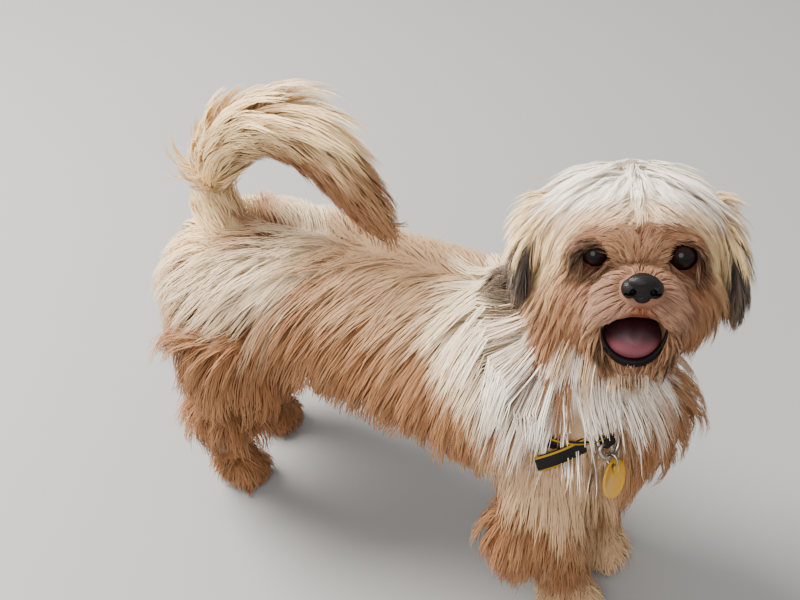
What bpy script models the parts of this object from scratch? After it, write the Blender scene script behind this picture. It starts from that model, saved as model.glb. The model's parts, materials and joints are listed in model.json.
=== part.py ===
"""A life-size standing shih tzu with a short pet trim, built whole and parted into named nodes.

The dog faces +X, its left side is +Y and the floor is Z = 0. The head is turned to its right.
Lengths in the tables are millimetres and are scaled to metres when the meshes are made.
"""

import math
import random

import bmesh
import bpy
from mathutils import Matrix, Vector
from mathutils.bvhtree import BVHTree

MM = 0.001
UP = Vector((0, 0, 1))
GAP = 0.3
SEED = 12

# The frame's origin under the middle of the dog's box, from the place between the feet
SHIFT = Vector((-2.33, -0.29, 0.0))

# Torso and neck: centre x, y, z, half width and half height of the dense undercoat
TORSO = (
    (-186, -14, 188, 34, 34),
    (-168, -10, 186, 54, 49),
    (-132, -3, 185, 62, 53),
    (-85, 5, 184, 62, 52),
    (-35, 9, 181, 62, 54),
    (15, 8, 178, 64, 58),
    (60, 2, 176, 66, 62),
    (98, -3, 174, 65, 62),
    (126, -6, 172, 59, 57),
    (150, -9, 170, 46, 46),
    (166, -11, 168, 25, 27),
)
NECK = ((76, -1, 193, 50, 46), (100, 4, 220, 45, 43), (122, 11, 247, 43, 42))

# Legs: centre x, y, z and radius, from the body down to the pastern
FORELEG_RIGHT = (
    (104, -40, 165, 38), (108, -47, 128, 29), (113, -47, 96, 23), (121, -40, 62, 18), (126, -35, 26, 17))
FORELEG_LEFT = (
    (106, 26, 165, 38), (110, 34, 128, 29), (114, 36, 96, 23), (124, 28, 62, 18), (128, 22, 26, 17))
HINDLEG_RIGHT = (
    (-132, -38, 180, 44), (-128, -44, 145, 40), (-140, -40, 108, 31), (-163, -32, 72, 24),
    (-163, -25, 30, 20))
HINDLEG_LEFT = (
    (-134, 32, 180, 44), (-134, 46, 145, 40), (-148, 50, 108, 31), (-172, 48, 72, 24),
    (-172, 45, 30, 20))
ELBOWS = ((97, -59, 84), (97, 46, 84))
ELBOW_RADII = (21, 15, 30)
PAWS = {
    "paw_front_right": (130, -34),
    "paw_front_left": (132, 21),
    "paw_hind_right": (-156, -22),
    "paw_hind_left": (-165, 45),
}
PAW_RADII = (22, 17, 15)
PAW_HEIGHT = 11
TOES = 4

# Tail carried over the back: centre x, y, z and radius of its core
TAIL = (
    (-148, -8, 222, 20), (-160, -8, 248, 17), (-163, -8, 276, 16), (-149, -8, 303, 16),
    (-122, -8, 321, 17), (-94, -8, 324, 18), (-70, -8, 313, 17), (-51, -8, 296, 15),
    (-38, -8, 281, 12), (-29, -8, 271, 8))

# Head: its own frame, forward along the face, left and up, from the middle of the skull
HEAD_AT = Vector((134, 14, 272))
FACE_TURN = math.radians(-66.5)
FACE_TILT = math.radians(25)
# Each lobe of the head: forward, left, up of its middle and its three radii
SKULL = ((-6, 0, 20, 49, 49, 42), (2, 0, -12, 46, 52, 38), (-14, 0, -14, 44, 48, 38))
BROW = (22, 0, 20, 22, 40, 18)
MUZZLE = (43, 0, -9, 20, 25, 17)
LIP_PAD = (48, 12, -15, 13, 14, 11)
CHIN = (33, 0, -44, 19, 21, 14)
EYE_AT = (34.5, 26, 14.5)
EYE_RADIUS = 9.3
LID_RADIUS = 11.2
LID_SLIT = (16, 8.6, 6.8)
NOSE_AT = (60, 0, -1)
NOSE_RADII = (8, 12, 9)
NOSTRIL_AT = (66.5, 5.4, -2.2)
NOSTRIL_RADII = (4, 2.1, 2.6)
MOUTH_AT = (45, -2.5, -33)
MOUTH_RADII = (26, 21, 15)
LIP_THICKNESS = 2.4
TONGUE_AT = (41, -2.5, -34)
TONGUE_RADII = (20, 16.5, 7)
JAW_TOP = -31
EAR_PATH = ((46, 40, -16), (56, 30, -16), (64, 12, -13), (67, -8, -10), (66, -27, -8))
EAR_HALF_WIDTHS = (17, 21, 22, 20, 11)
EAR_THICKNESS = 4.5
EAR_PLANE = 57.5
EAR_CUP = (61, -22, -10, 2.6, 24, 15)

# Collar: a flat strap in a tilted plane low on the neck
COLLAR_AT = Vector((96, -15, 206))
COLLAR_AXIS = Vector((0.52, -0.2, 0.83)).normalized()
COLLAR_REACH = (61, 54)
COLLAR_WIDTH = 15
COLLAR_THICKNESS = 2.4
RING_WIDTH = 19
RING_DROP = 12
RING_WIRE = 1.4
KEEPER = (6.5, 9, 8)
LINK_RADIUS = 4.6
LINK_WIRE = 0.8
TAG_RADIUS = 13.5
TAG_THICKNESS = 1.6
TAG_TURN = math.radians(-10)
TAG_HOLE = 2
TAG_RIM = 1.6
FREE_END = (Vector((136.8, -52.6, 177.4)), Vector((112, -73.7, 169.5)))
FREE_END_WIDTH = 12
POCKET_RADII = (21, 22, 42)

# Planes that part the nodes
THROAT_FACING = Vector((0.42, 0.42, 0.80)).normalized()
THROAT_DEPTH = 54.5
TORSO_CUTS = (-86, 44)
FORELEG_TOP = 74
HINDLEG_TOP = 108
PAW_TOP = 22
LEG_SPLITS = {"fore": -15, "hind": -4}
TAIL_CUTS = (292, -118, -62)
BACK_LEAN = math.radians(10)

# The coat's locks: share of the length, of the width and of the thickness at each section
LOCK_SECTIONS = ((0, 0.75, 1), (0.36, 1, 0.85), (0.72, 0.68, 0.55))
LOCK_SINK = 6
LOCK_VARIATION = 0.16
LOCK_SWING = 0.16
# Length, width and thickness of a lock, and how far it lifts off the skin
BODY_LOCK = (52, 29, 7, 0.34)
FRINGE_LOCK = (50, 26, 7, 0.4)
BELLY_LOCK = (34, 26, 7, 0.5)
RUMP_LOCK = (48, 24, 6, 0.75)
CHEST_LOCK = (52, 28, 8, 0.55)
LEG_LOCK = (36, 20, 7, 0.6)
PAW_LOCK = (17, 12, 5, 0.5)
TAIL_LOCK = (42, 24, 8)
CROWN_LOCK = (46, 26, 7, 0.9)
CHEEK_LOCK = (40, 21, 7, 0.75)
MOUSTACHE_LOCK = (27, 12, 5, 0.5)
BEARD_LOCK = (24, 12, 5, 0.45)
EAR_LOCK = (34, 18, 6, 0.85)

# Rows of locks round the torso, as turns from the top of the back down either side
TORSO_ROWS = range(-150, 100, 31)
FIRST_LEAN = 12
LEAN_STEP = 27
ODD_ROW_LEAN = 9
LOCKS_DOWN_SIDE = 5
CROUP_END = -50
CROUP_LIFT = 1.7
BELLY_PLACES = ((-60, -22), (-60, 32), (-15, -20), (-15, 36), (30, -24), (30, 34), (64, 4))

# Rows on the rump and the chest: lean from upright, and turns round from straight ahead
RUMP_MIDDLE = Vector((-140, -4, 185))
RUMP_ROWS = (
    (62, (180,)), (84, (150, 180, 210)), (108, (130, 160, 190, 220)), (136, (125, 160, 200, 235)))
CHEST_MIDDLE = Vector((112, -4, 176))
CHEST_ROWS = (
    (52, 0.9, (-60, -20, 25, 62)), (76, 0.75, (-75, -42, 4, 32, 58, 84)),
    (98, 0.4, (-62, -28, 12, 40, 66)), (118, 0.25, (-48, -12, 24, 52, 80)))
FULLER_CHEST = 1.5

# Rows down each length of a leg, and clumps round a paw
LEG_ROWS = (0.15, 0.65)
FULL_LEG_RADIUS = 26
PAW_TURNS = (-75, -30, 15, 60, 110, 180, 240)

# The plume: turns round the tail from its outer side, and how far each stretch stands off
PLUME_MIDDLE = Vector((-88, -8, 268))
PLUME_TURNS = (-68, -26, 16, 56, 125, -140)
PLUME_STAND = 0.75
TIP_STAND = 0.5
PLUME_LENGTH = 6
ARCH_FIRST = 3

# Rows on the head: pitch over the crown from the face, and turn to either side
CROWN_PITCHES = (52, 82, 112, 142)
CROWN_TURNS = (13, 42)
CHEEK_PLACES = (
    (-62, 40), (-38, 52), (-8, 58), (30, 66), (72, 66), (112, 62), (150, 50), (-100, 46),
    (176, 26), (200, 48), (216, 16))
MOUSTACHE_PLACES = ((52, 12, -8), (48, 20, -10), (44, 23, -20))
BEARD_PLACES = ((46, -16, -50), (48, -6, -54), (48, 6, -54), (46, 16, -50), (36, 0, -60))
EAR_ROOTS = ((-2, 14), (-11, 8), (-2, 14), (-11, 8), (-2,))
# Triangles that the head and the body keep once their locks are fused on
HEAD_TRIANGLES = 1900
BODY_TRIANGLES = 5300

COATS = {
    "white": (0.86, 0.82, 0.76, 1),
    "gold": (0.72, 0.5, 0.3, 1),
    "tan": (0.6, 0.38, 0.22, 1),
    "grey": (0.16, 0.14, 0.13, 1),
    "wet_black": (0.015, 0.013, 0.013, 1),
    "eye_brown": (0.03, 0.015, 0.01, 1),
    "tongue_pink": (0.55, 0.2, 0.22, 1),
    "webbing": (0.03, 0.03, 0.03, 1),
    "steel": (0.7, 0.7, 0.7, 1),
    "yellow": (0.9, 0.62, 0.05, 1),
}


def head_axes():
    """Forward, left and up of the head."""
    level = Vector((math.cos(FACE_TURN), math.sin(FACE_TURN), 0))
    forward = level * math.cos(FACE_TILT) + UP * math.sin(FACE_TILT)
    left = UP.cross(level)
    return forward, left, forward.cross(left)


FORWARD, LEFT, HEAD_UP = head_axes()
HEAD_TURN = Matrix((FORWARD, LEFT, HEAD_UP)).transposed()


def on_head(forward, left, up):
    """A place on the head, in the dog's frame."""
    return HEAD_AT + HEAD_TURN @ Vector((forward, left, up))


def make_object(name, mesh, collection):
    piece = bpy.data.objects.new(name, mesh)
    collection.objects.link(piece)
    return piece


def from_bmesh(name, form, collection):
    """An object from a bmesh in millimetres, with all its faces pointing out."""
    bmesh.ops.recalc_face_normals(form, faces=form.faces)
    mesh = bpy.data.meshes.new(name)
    form.to_mesh(mesh)
    form.free()
    return make_object(name, mesh, collection)


def ball(name, at, radii, collection, turn=None, detail=(20, 12)):
    """An ellipsoid whose poles lie along its third radius."""
    form = bmesh.new()
    bmesh.ops.create_uvsphere(form, u_segments=detail[0], v_segments=detail[1], radius=1)
    place = Matrix.Diagonal((*radii, 1))
    if turn is not None:
        place = turn.to_4x4() @ place
    bmesh.ops.transform(form, matrix=Matrix.Translation(at) @ place, verts=form.verts)
    return from_bmesh(name, form, collection)


def box(name, at, size, collection, turn=None):
    form = bmesh.new()
    bmesh.ops.create_cube(form, size=1)
    place = Matrix.Diagonal((*size, 1))
    if turn is not None:
        place = turn.to_4x4() @ place
    bmesh.ops.transform(form, matrix=Matrix.Translation(at) @ place, verts=form.verts)
    return from_bmesh(name, form, collection)


def skin_rings(name, rings, collection):
    """A closed loft through rings of points, with flat ends or a single point at an end."""
    form = bmesh.new()
    loops = [[form.verts.new(point) for point in ring] for ring in rings]
    for ring, following in zip(loops, loops[1:]):
        sides = len(ring)
        for i in range(sides):
            j = (i + 1) % sides
            if len(following) == 1:
                form.faces.new((ring[i], ring[j], following[0]))
            else:
                form.faces.new((ring[i], ring[j], following[j], following[i]))
    for end in (loops[0], loops[-1]):
        if len(end) > 2:
            form.faces.new(end)
    bmesh.ops.triangulate(form, faces=form.faces)
    return from_bmesh(name, form, collection)


def tube(name, stations, collection, sides=18):
    """A loft of ellipses: each station is x, y, z, half width and half height, or one radius."""
    centres = [Vector(station[:3]) for station in stations]
    rings = []
    for i, station in enumerate(stations):
        along = (centres[min(i + 1, len(centres) - 1)] - centres[max(i - 1, 0)]).normalized()
        side = UP.cross(along)
        side = side.normalized() if side.length > 0.2 else Vector((0, 1, 0))
        over = along.cross(side)
        wide, high = station[3], station[-1]
        rings.append([
            centres[i] + side * wide * math.cos(turn) + over * high * math.sin(turn)
            for turn in (math.tau * k / sides for k in range(sides))])
    return skin_rings(name, rings, collection)


def evaluated_mesh(piece):
    """The mesh of an object with its modifiers applied."""
    graph = bpy.context.evaluated_depsgraph_get()
    return bpy.data.meshes.new_from_object(piece.evaluated_get(graph), depsgraph=graph)


def apply_modifiers(piece):
    mesh = evaluated_mesh(piece)
    piece.modifiers.clear()
    old = piece.data
    piece.data = mesh
    bpy.data.meshes.remove(old)


def remove(pieces):
    for piece in list(pieces):
        bpy.data.objects.remove(piece, do_unlink=True)


def join_meshes(name, pieces, collection):
    """One object that holds the meshes of several closed objects as they lie."""
    form = bmesh.new()
    for piece in pieces:
        form.from_mesh(piece.data)
    joined = from_bmesh(name, form, collection)
    remove(pieces)
    return joined


def melt(name, pieces, voxel, triangles, collection, smoothing=8):
    """Closed forms that overlap, blended into one smooth closed skin of few triangles."""
    core = join_meshes(name, pieces, collection)
    remesh = core.modifiers.new("voxels", "REMESH")
    remesh.mode = "VOXEL"
    remesh.voxel_size = voxel
    smooth = core.modifiers.new("smooth", "SMOOTH")
    smooth.factor = 0.5
    smooth.iterations = smoothing
    apply_modifiers(core)
    form = bmesh.new()
    form.from_mesh(core.data)
    bmesh.ops.triangulate(form, faces=form.faces)
    form.to_mesh(core.data)
    form.free()
    fewer = core.modifiers.new("fewer", "DECIMATE")
    fewer.ratio = triangles / len(core.data.polygons)
    apply_modifiers(core)
    return core


def combine(piece, others, operation):
    """A Boolean of one object with a list of closed objects, which are then removed."""
    group = bpy.data.collections.new("operands")
    bpy.context.scene.collection.children.link(group)
    for other in others:
        for home in other.users_collection:
            home.objects.unlink(other)
        group.objects.link(other)
    boolean = piece.modifiers.new("combine", "BOOLEAN")
    boolean.operation = operation
    boolean.operand_type = "COLLECTION"
    boolean.collection = group
    boolean.solver = "MANIFOLD"
    apply_modifiers(piece)
    remove(group.objects)
    bpy.data.collections.remove(group)


def keep_largest(piece):
    """Only the closed surface of most volume stays."""
    form = bmesh.new()
    form.from_mesh(piece.data)
    bmesh.ops.triangulate(form, faces=form.faces)
    unseen = set(form.faces)
    shells = []
    while unseen:
        shell, edge = [], [unseen.pop()]
        while edge:
            face = edge.pop()
            shell.append(face)
            for side in face.edges:
                for other in side.link_faces:
                    if other in unseen:
                        unseen.discard(other)
                        edge.append(other)
        volume = sum(
            face.verts[0].co.dot(face.verts[1].co.cross(face.verts[2].co)) for face in shell)
        shells.append((volume, shell))
    largest = max(shells, key=lambda entry: entry[0])[1]
    keep = set(largest)
    drop = [face for face in form.faces if face not in keep]
    bmesh.ops.delete(form, geom=drop, context="FACES")
    form.to_mesh(piece.data)
    form.free()


def thin_out(piece, triangles):
    """Take the slivers that a union leaves out of a piece, down to a number of triangles."""
    count = sum(len(face.vertices) - 2 for face in piece.data.polygons)
    if count > triangles:
        modifier = piece.modifiers.new("thin", "DECIMATE")
        modifier.ratio = triangles / count
        apply_modifiers(piece)


def copy_of(piece, name, collection):
    return make_object(name, piece.data.copy(), collection)


class Coat:
    """Lays locks on a core: each is a closed blade, to be fused to the core afterwards."""

    def __init__(self, core, collection, draws):
        mesh = core.data
        self.tree = BVHTree.FromPolygons(
            [vertex.co for vertex in mesh.vertices], [face.vertices for face in mesh.polygons])
        self.collection = collection
        self.draws = draws
        self.locks = []

    def surface(self, origin, direction):
        """The last place where a ray from inside leaves the core, and the outward normal."""
        direction = direction.normalized()
        place, normal = None, None
        start = origin
        while True:
            hit, facing, _, _ = self.tree.ray_cast(start, direction)
            if hit is None:
                return place, normal
            if facing.dot(direction) > 0:
                place, normal = hit, facing
            start = hit + direction * 0.05

    def nearest(self, place):
        hit, facing, _, _ = self.tree.find_nearest(place)
        return hit, facing

    def vary(self, size):
        return size * (1 + self.draws.uniform(-LOCK_VARIATION, LOCK_VARIATION))

    def lay(self, place, normal, flow, size, fall=None):
        """One lock from a place on the core, along the flow and bending to its fall."""
        length, width, thickness, lift = size
        length = self.vary(length)
        width = self.vary(width)
        along = (flow - normal * flow.dot(normal)).normalized()
        along = turned(along, normal, self.draws.uniform(-LOCK_SWING, LOCK_SWING))
        heading = (along + normal * lift).normalized()
        fall = along if fall is None else fall.normalized()
        start = place - normal * LOCK_SINK
        bend = start + heading * length / 2
        tip = bend + fall * length / 2
        rings = []
        for share, wide, thick in LOCK_SECTIONS:
            rest = 1 - share
            middle = start * rest ** 2 + bend * 2 * share * rest + tip * share ** 2
            tangent = (heading * rest + fall * share).normalized()
            side = normal.cross(tangent).normalized()
            over = tangent.cross(side)
            side = side * width * wide / 2
            over = over * thickness * thick / 2
            rings.append([middle + side, middle + over, middle - side, middle - over])
        rings.append([tip])
        self.locks.append(skin_rings("lock", rings, self.collection))


def along_torso(x):
    """The centre of the torso at a place along X."""
    for near, far in zip(TORSO, TORSO[1:]):
        if x <= far[0]:
            share = max((x - near[0]) / (far[0] - near[0]), 0)
            return Vector(near[:3]).lerp(Vector(far[:3]), share)
    return Vector(TORSO[-1][:3])


def level_direction(degrees):
    turn = math.radians(degrees)
    return Vector((math.cos(turn), math.sin(turn), 0))


def leaning(degrees, level):
    """A direction that leans from upright towards a level one."""
    lean = math.radians(degrees)
    return UP * math.cos(lean) + level * math.sin(lean)


def scaled(size, length=1, width=1, lift=1):
    return size[0] * length, size[1] * width, size[2], size[3] * lift


def lay_torso(coat):
    """Rows round the body, parted along the back and hanging down the sides."""
    for row, x in enumerate(TORSO_ROWS):
        centre = along_torso(x)
        over_thigh = x < TORSO_CUTS[0]
        for side in (-1, 1):
            for k in range(LOCKS_DOWN_SIDE - over_thigh):
                lean = FIRST_LEAN + LEAN_STEP * k + ODD_ROW_LEAN * (row % 2)
                place, normal = coat.surface(centre, leaning(lean, Vector((0, side, 0))))
                top = max(normal.z, 0)
                lift = CROUP_LIFT if x < CROUP_END and k < 2 else 1
                flow = Vector((-0.35 - 0.5 * top, side * 0.9 * top, -1))
                if k < LOCKS_DOWN_SIDE - 1:
                    coat.lay(place, normal, flow, scaled(BODY_LOCK, lift=lift))
                else:
                    coat.lay(place, normal, flow, FRINGE_LOCK, Vector((-0.15, side * 0.1, -1)))
    for x, y in BELLY_PLACES:
        place, normal = coat.surface(along_torso(x), Vector((0, y / 60, -1)))
        coat.lay(place, normal, Vector((-1, 0, -0.2)), BELLY_LOCK, Vector((-0.6, 0, -0.8)))


def lay_rump(coat):
    """Hair that stands off the rump and falls behind the thighs."""
    for lean, turns in RUMP_ROWS:
        for turn in turns:
            level = level_direction(turn)
            place, normal = coat.surface(RUMP_MIDDLE, leaning(lean, level))
            fall = Vector((-0.35, level.y * 0.4, -0.9))
            coat.lay(place, normal, Vector((-0.3, 0, -1)), RUMP_LOCK, fall)


def lay_chest(coat):
    """The long white bib, fuller on the dog's left, down to between the legs."""
    for lean, spread, turns in CHEST_ROWS:
        for turn in turns:
            level = level_direction(turn)
            place, normal = coat.surface(CHEST_MIDDLE, leaning(lean, level))
            fuller, stray = (FULLER_CHEST, spread) if turn > 10 else (1, 0.1)
            fall = level * stray - UP
            coat.lay(place, normal, Vector((0.1, 0, -1)), scaled(CHEST_LOCK, fuller, 1, fuller), fall)


def lay_leg(coat, stations):
    """Rows round a leg from the body to the pastern, longer where the leg is full."""
    for near, far in zip(stations[1:], stations[2:]):
        for share in LEG_ROWS:
            centre = Vector(near[:3]).lerp(Vector(far[:3]), share)
            radius = near[3] * (1 - share) + far[3] * share
            slim = min(radius / FULL_LEG_RADIUS, 1.3)
            around = 6 if slim > 0.9 else 5
            for k in range(around):
                place, normal = coat.surface(centre, level_direction(360 * (k + share) / around))
                if place is None or (place - centre).length > far[3] * 2.4:
                    continue
                reach = min(slim, (place.z - LOCK_SINK) / LEG_LOCK[0])
                fall = Vector((0, 0, -1)) + normal * 0.15
                coat.lay(place, normal, Vector((-0.1, 0, -1)), scaled(LEG_LOCK, reach, slim, slim), fall)


def lay_paws(coat):
    """Short clumps over the toes."""
    for x, y in PAWS.values():
        middle = Vector((x, y, PAW_HEIGHT))
        for turn in PAW_TURNS:
            level = level_direction(turn)
            place, normal = coat.surface(middle, level + UP * 0.35)
            if place is not None and (place - middle).length < PAW_RADII[0] * 2:
                coat.lay(place, normal, level * 0.5 - UP, PAW_LOCK, level * 0.3 - UP)


def lay_tail(coat):
    """The plume: fans off the outer side of the arch, shorter along its inner side."""
    centres = [Vector(station[:3]) for station in TAIL]
    length, width, thick = TAIL_LOCK
    for i in range(1, len(centres) - 1):
        along = (centres[i + 1] - centres[i - 1]).normalized()
        outward = centres[i] - PLUME_MIDDLE
        outward = (outward - along * outward.dot(along)).normalized()
        lateral = along.cross(outward)
        stand = PLUME_STAND if i < PLUME_LENGTH else TIP_STAND
        for fan in PLUME_TURNS:
            angle = math.radians(fan + (10 if i % 2 else -6))
            away = outward * math.cos(angle) + lateral * math.sin(angle)
            start = centres[i] + away * TAIL[i][3] * 0.35
            if abs(fan) > 90:
                reach = 0.6 if i < ARCH_FIRST or i > PLUME_LENGTH else 0.3
            else:
                reach = 1.1 if abs(fan) < 40 and i < PLUME_LENGTH else 0.85
            normal = (away - along / 2).normalized()
            heading = away * stand + along * 0.55
            fall = away * 0.55 * stand + along * 0.8 - UP * 0.15
            size = (length * reach, width, thick, stand)
            coat.lay(start + normal * LOCK_SINK, normal, heading, size, fall)


def head_direction(pitch, turn):
    """A direction on the head: pitch up from the face over the crown, turn to its left."""
    pitch, turn = math.radians(pitch), math.radians(turn)
    return HEAD_TURN @ Vector((
        math.cos(pitch) * math.cos(turn), math.sin(turn), math.sin(pitch) * math.cos(turn)))


def lay_head(coat):
    """Parted crown, cheeks, moustache and beard."""
    for side in (-1, 1):
        for pitch in CROWN_PITCHES:
            for turn in CROWN_TURNS:
                place, normal = coat.surface(HEAD_AT, head_direction(pitch, side * turn))
                fallen = math.radians(turn)
                flow = Vector((0.1, side * math.cos(fallen), -0.3 - math.sin(fallen)))
                coat.lay(place, normal, HEAD_TURN @ flow, CROWN_LOCK)
        cheek_flow = HEAD_TURN @ Vector((-0.1, side * 0.35, -1))
        cheek_fall = HEAD_TURN @ Vector((0, side * 0.25, -0.9))
        for pitch, turn in CHEEK_PLACES:
            place, normal = coat.surface(HEAD_AT, head_direction(pitch, side * turn))
            coat.lay(place, normal, cheek_flow, CHEEK_LOCK, cheek_fall)
        flow = HEAD_TURN @ Vector((-0.3, side, -0.75))
        fall = HEAD_TURN @ Vector((-0.35, side * 0.6, -0.9))
        for forward, left, up in MOUSTACHE_PLACES:
            place, normal = coat.nearest(on_head(forward, left * side, up))
            coat.lay(place, normal, flow, MOUSTACHE_LOCK, fall)
    for forward, left, up in BEARD_PLACES:
        place, normal = coat.nearest(on_head(forward, left, up))
        aside = left / 45
        coat.lay(place, normal, HEAD_TURN @ Vector((0, aside, -1)), BEARD_LOCK,
                 HEAD_TURN @ Vector((-0.1, aside, -1)))


def lay_ears(coat):
    """Locks down the outer side of each hanging ear and past its tip."""
    for side in (-1, 1):
        normal = HEAD_TURN @ Vector((0, side, 0.1)).normalized()
        fall = HEAD_TURN @ Vector((0, side * 0.1, -1))
        for (left, up, forward), shifts in zip(EAR_PATH, EAR_ROOTS):
            for shift in shifts:
                place, _ = coat.nearest(on_head(forward + shift, side * (left + 9), up))
                flow = HEAD_TURN @ Vector((shift * 0.02, side * 0.2, -1))
                coat.lay(place, normal, flow, EAR_LOCK, fall)


def leg_parts(collection):
    """The lobes of the four legs, elbows and paws."""
    parts = [
        tube("leg", stations, collection, 14)
        for stations in (FORELEG_RIGHT, FORELEG_LEFT, HINDLEG_RIGHT, HINDLEG_LEFT)]
    parts += [ball("elbow", at, ELBOW_RADII, collection) for at in ELBOWS]
    for x, y in PAWS.values():
        parts.append(ball("paw", (x, y, PAW_HEIGHT), PAW_RADII, collection))
        for toe in range(TOES):
            across = (toe - (TOES - 1) / 2) * 8
            forward = 15 - abs(across) * 0.35
            parts.append(ball("toe", (x + forward, y + across, 7), (9, 5.5, 8), collection))
    return parts


def body_core(collection):
    parts = [tube("torso", TORSO, collection), tube("neck", NECK, collection)]
    parts += leg_parts(collection)
    parts.append(tube("tail", TAIL, collection, 12))
    return melt("body_core", parts, 4.5, 1900, collection)


def head_core(collection):
    """Skull, brow, muzzle, lip pads, chin and the two hanging ears as one skin."""
    parts = []
    for lobe in (*SKULL, BROW, MUZZLE, CHIN):
        parts.append(ball("lobe", on_head(*lobe[:3]), lobe[3:], collection, HEAD_TURN))
    for side in (-1, 1):
        forward, left, up = LIP_PAD[:3]
        parts.append(ball("pad", on_head(forward, left * side, up), LIP_PAD[3:], collection, HEAD_TURN))
        rings = []
        for (left, up, forward), wide in zip(EAR_PATH, EAR_HALF_WIDTHS):
            rings.append([
                on_head(
                    forward + wide * math.cos(turn),
                    side * (left + EAR_THICKNESS * math.sin(turn)),
                    up)
                for turn in (math.tau * k / 12 for k in range(12))])
        parts.append(skin_rings("ear", rings, collection))
    return melt("head_core", parts, 3, 1100, collection, 5)


def face_details(head, collection):
    """Lids, the mouth's opening with its lips, and the seats of the eyes and the nose."""
    lips = ball("lips", on_head(MOUTH_AT[0] + 8, MOUTH_AT[1], MOUTH_AT[2]),
                (MOUTH_RADII[0] * 0.42, MOUTH_RADII[1] + LIP_THICKNESS, MOUTH_RADII[2] + LIP_THICKNESS),
                collection, HEAD_TURN)
    lids = []
    for side in (-1, 1):
        forward, left, up = EYE_AT
        at = on_head(forward, left * side, up)
        lids.append(ball("lid", at, (LID_RADIUS,) * 3, collection, HEAD_TURN, (16, 10)))
    combine(head, [*lids, lips], "UNION")
    hollows = [ball("mouth", on_head(*MOUTH_AT), MOUTH_RADII, collection, HEAD_TURN)]
    for side in (-1, 1):
        forward, left, up = EYE_AT
        at = on_head(forward, left * side, up)
        hollows.append(ball("eye_seat", at, (EYE_RADIUS + GAP,) * 3, collection, HEAD_TURN, (16, 10)))
        slit_at = on_head(forward + 8, left * side, up)
        hollows.append(ball("slit", slit_at, LID_SLIT, collection, HEAD_TURN, (14, 8)))
        left, up, forward = EAR_CUP[0] * side, EAR_CUP[1], EAR_CUP[2]
        cup_radii = (EAR_CUP[5], EAR_CUP[3], EAR_CUP[4])
        hollows.append(ball("cup", on_head(forward, left, up), cup_radii, collection, HEAD_TURN, (14, 8)))
    nose_seat = [radius + GAP for radius in NOSE_RADII]
    hollows.append(ball("nose_seat", on_head(*NOSE_AT), nose_seat, collection, HEAD_TURN, (16, 10)))
    return hollows


def small_face_nodes(collection):
    """Eyes, nose with nostrils and the tongue, each in its own node."""
    made = []
    for name, side in (("eye_right", -1), ("eye_left", 1)):
        forward, left, up = EYE_AT
        at = on_head(forward, left * side, up)
        made.append(ball(name, at, (EYE_RADIUS,) * 3, collection, HEAD_TURN, (14, 8)))
    nose = ball("nose", on_head(*NOSE_AT), NOSE_RADII, collection, HEAD_TURN, (14, 8))
    forward, left, up = NOSTRIL_AT
    nostrils = [
        ball("nostril", on_head(forward, left * side, up), NOSTRIL_RADII, collection, HEAD_TURN, (8, 6))
        for side in (-1, 1)]
    combine(nose, nostrils, "DIFFERENCE")
    made.append(nose)
    tongue = ball("tongue", on_head(*TONGUE_AT), TONGUE_RADII, collection, HEAD_TURN, (12, 8))
    inside = [radius - GAP for radius in MOUTH_RADII]
    combine(tongue, [ball("inside", on_head(*MOUTH_AT), inside, collection, HEAD_TURN)], "INTERSECT")
    made.append(tongue)
    return made


def collar_frame():
    """The collar's plane: one axis to the ring at the front, one across to the dog's left."""
    front = Vector((0.788, -0.327, -0.521))
    front -= COLLAR_AXIS * front.dot(COLLAR_AXIS)
    front.normalize()
    return front, COLLAR_AXIS.cross(front)


def strap_rings(inner, outer, width, count=36):
    """Rectangular sections all round the collar, at an inner and an outer offset from its line."""
    front, across = collar_frame()
    rings = []
    for k in range(count):
        turn = math.tau * k / count
        rings.append([
            COLLAR_AT + front * (COLLAR_REACH[0] + offset) * math.cos(turn)
            + across * (COLLAR_REACH[1] + offset) * math.sin(turn) + COLLAR_AXIS * rise
            for offset, rise in (
                (inner, -width / 2), (outer, -width / 2), (outer, width / 2), (inner, width / 2))])
    return rings


def closed_loop(name, rings, collection):
    """A loft whose last ring joins its first."""
    form = bmesh.new()
    loops = [[form.verts.new(point) for point in ring] for ring in rings]
    for ring, following in zip(loops, loops[1:] + loops[:1]):
        for i in range(len(ring)):
            j = (i + 1) % len(ring)
            form.faces.new((ring[i], ring[j], following[j], following[i]))
    bmesh.ops.triangulate(form, faces=form.faces)
    return from_bmesh(name, form, collection)


def half_space(name, at, facing, collection, depth=400):
    """A large box whose one face lies at a point and whose bulk is on the side it faces."""
    turn = facing.to_track_quat("Z", "Y").to_matrix()
    return box(name, at + facing * depth / 2, (900, 900, depth), collection, turn)


def carve(rest, name, make_cell, parts):
    """Parts a node from the rest by a cell: make_cell(margin) builds it grown by a margin."""
    node = copy_of(rest, name, parts)
    combine(node, [make_cell(-GAP / 2)], "INTERSECT")
    combine(rest, [make_cell(GAP / 2)], "DIFFERENCE")
    keep_largest(node)
    return node


def cell_box(low, high, parts):
    def make(margin):
        size = [top - bottom + 2 * margin for bottom, top in zip(low, high)]
        middle = Vector([(top + bottom) / 2 for bottom, top in zip(low, high)])
        return box("cell", middle, size, parts)
    return make


def turned_cell(low, high, origin, turn, parts):
    """A box between two corners in a turned frame."""
    def make(margin):
        size = [top - bottom + 2 * margin for bottom, top in zip(low, high)]
        middle = Vector([(top + bottom) / 2 for bottom, top in zip(low, high)])
        return box("cell", origin + turn @ middle, size, parts, turn)
    return make


def head_cell(low, high, parts):
    return turned_cell(low, high, HEAD_AT, HEAD_TURN, parts)


def cell_beyond(at, facing, parts):
    def make(margin):
        return half_space("cell", at - facing * margin, facing, parts)
    return make


def clear_scene():
    for piece in list(bpy.data.objects):
        bpy.data.objects.remove(piece, do_unlink=True)


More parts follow.
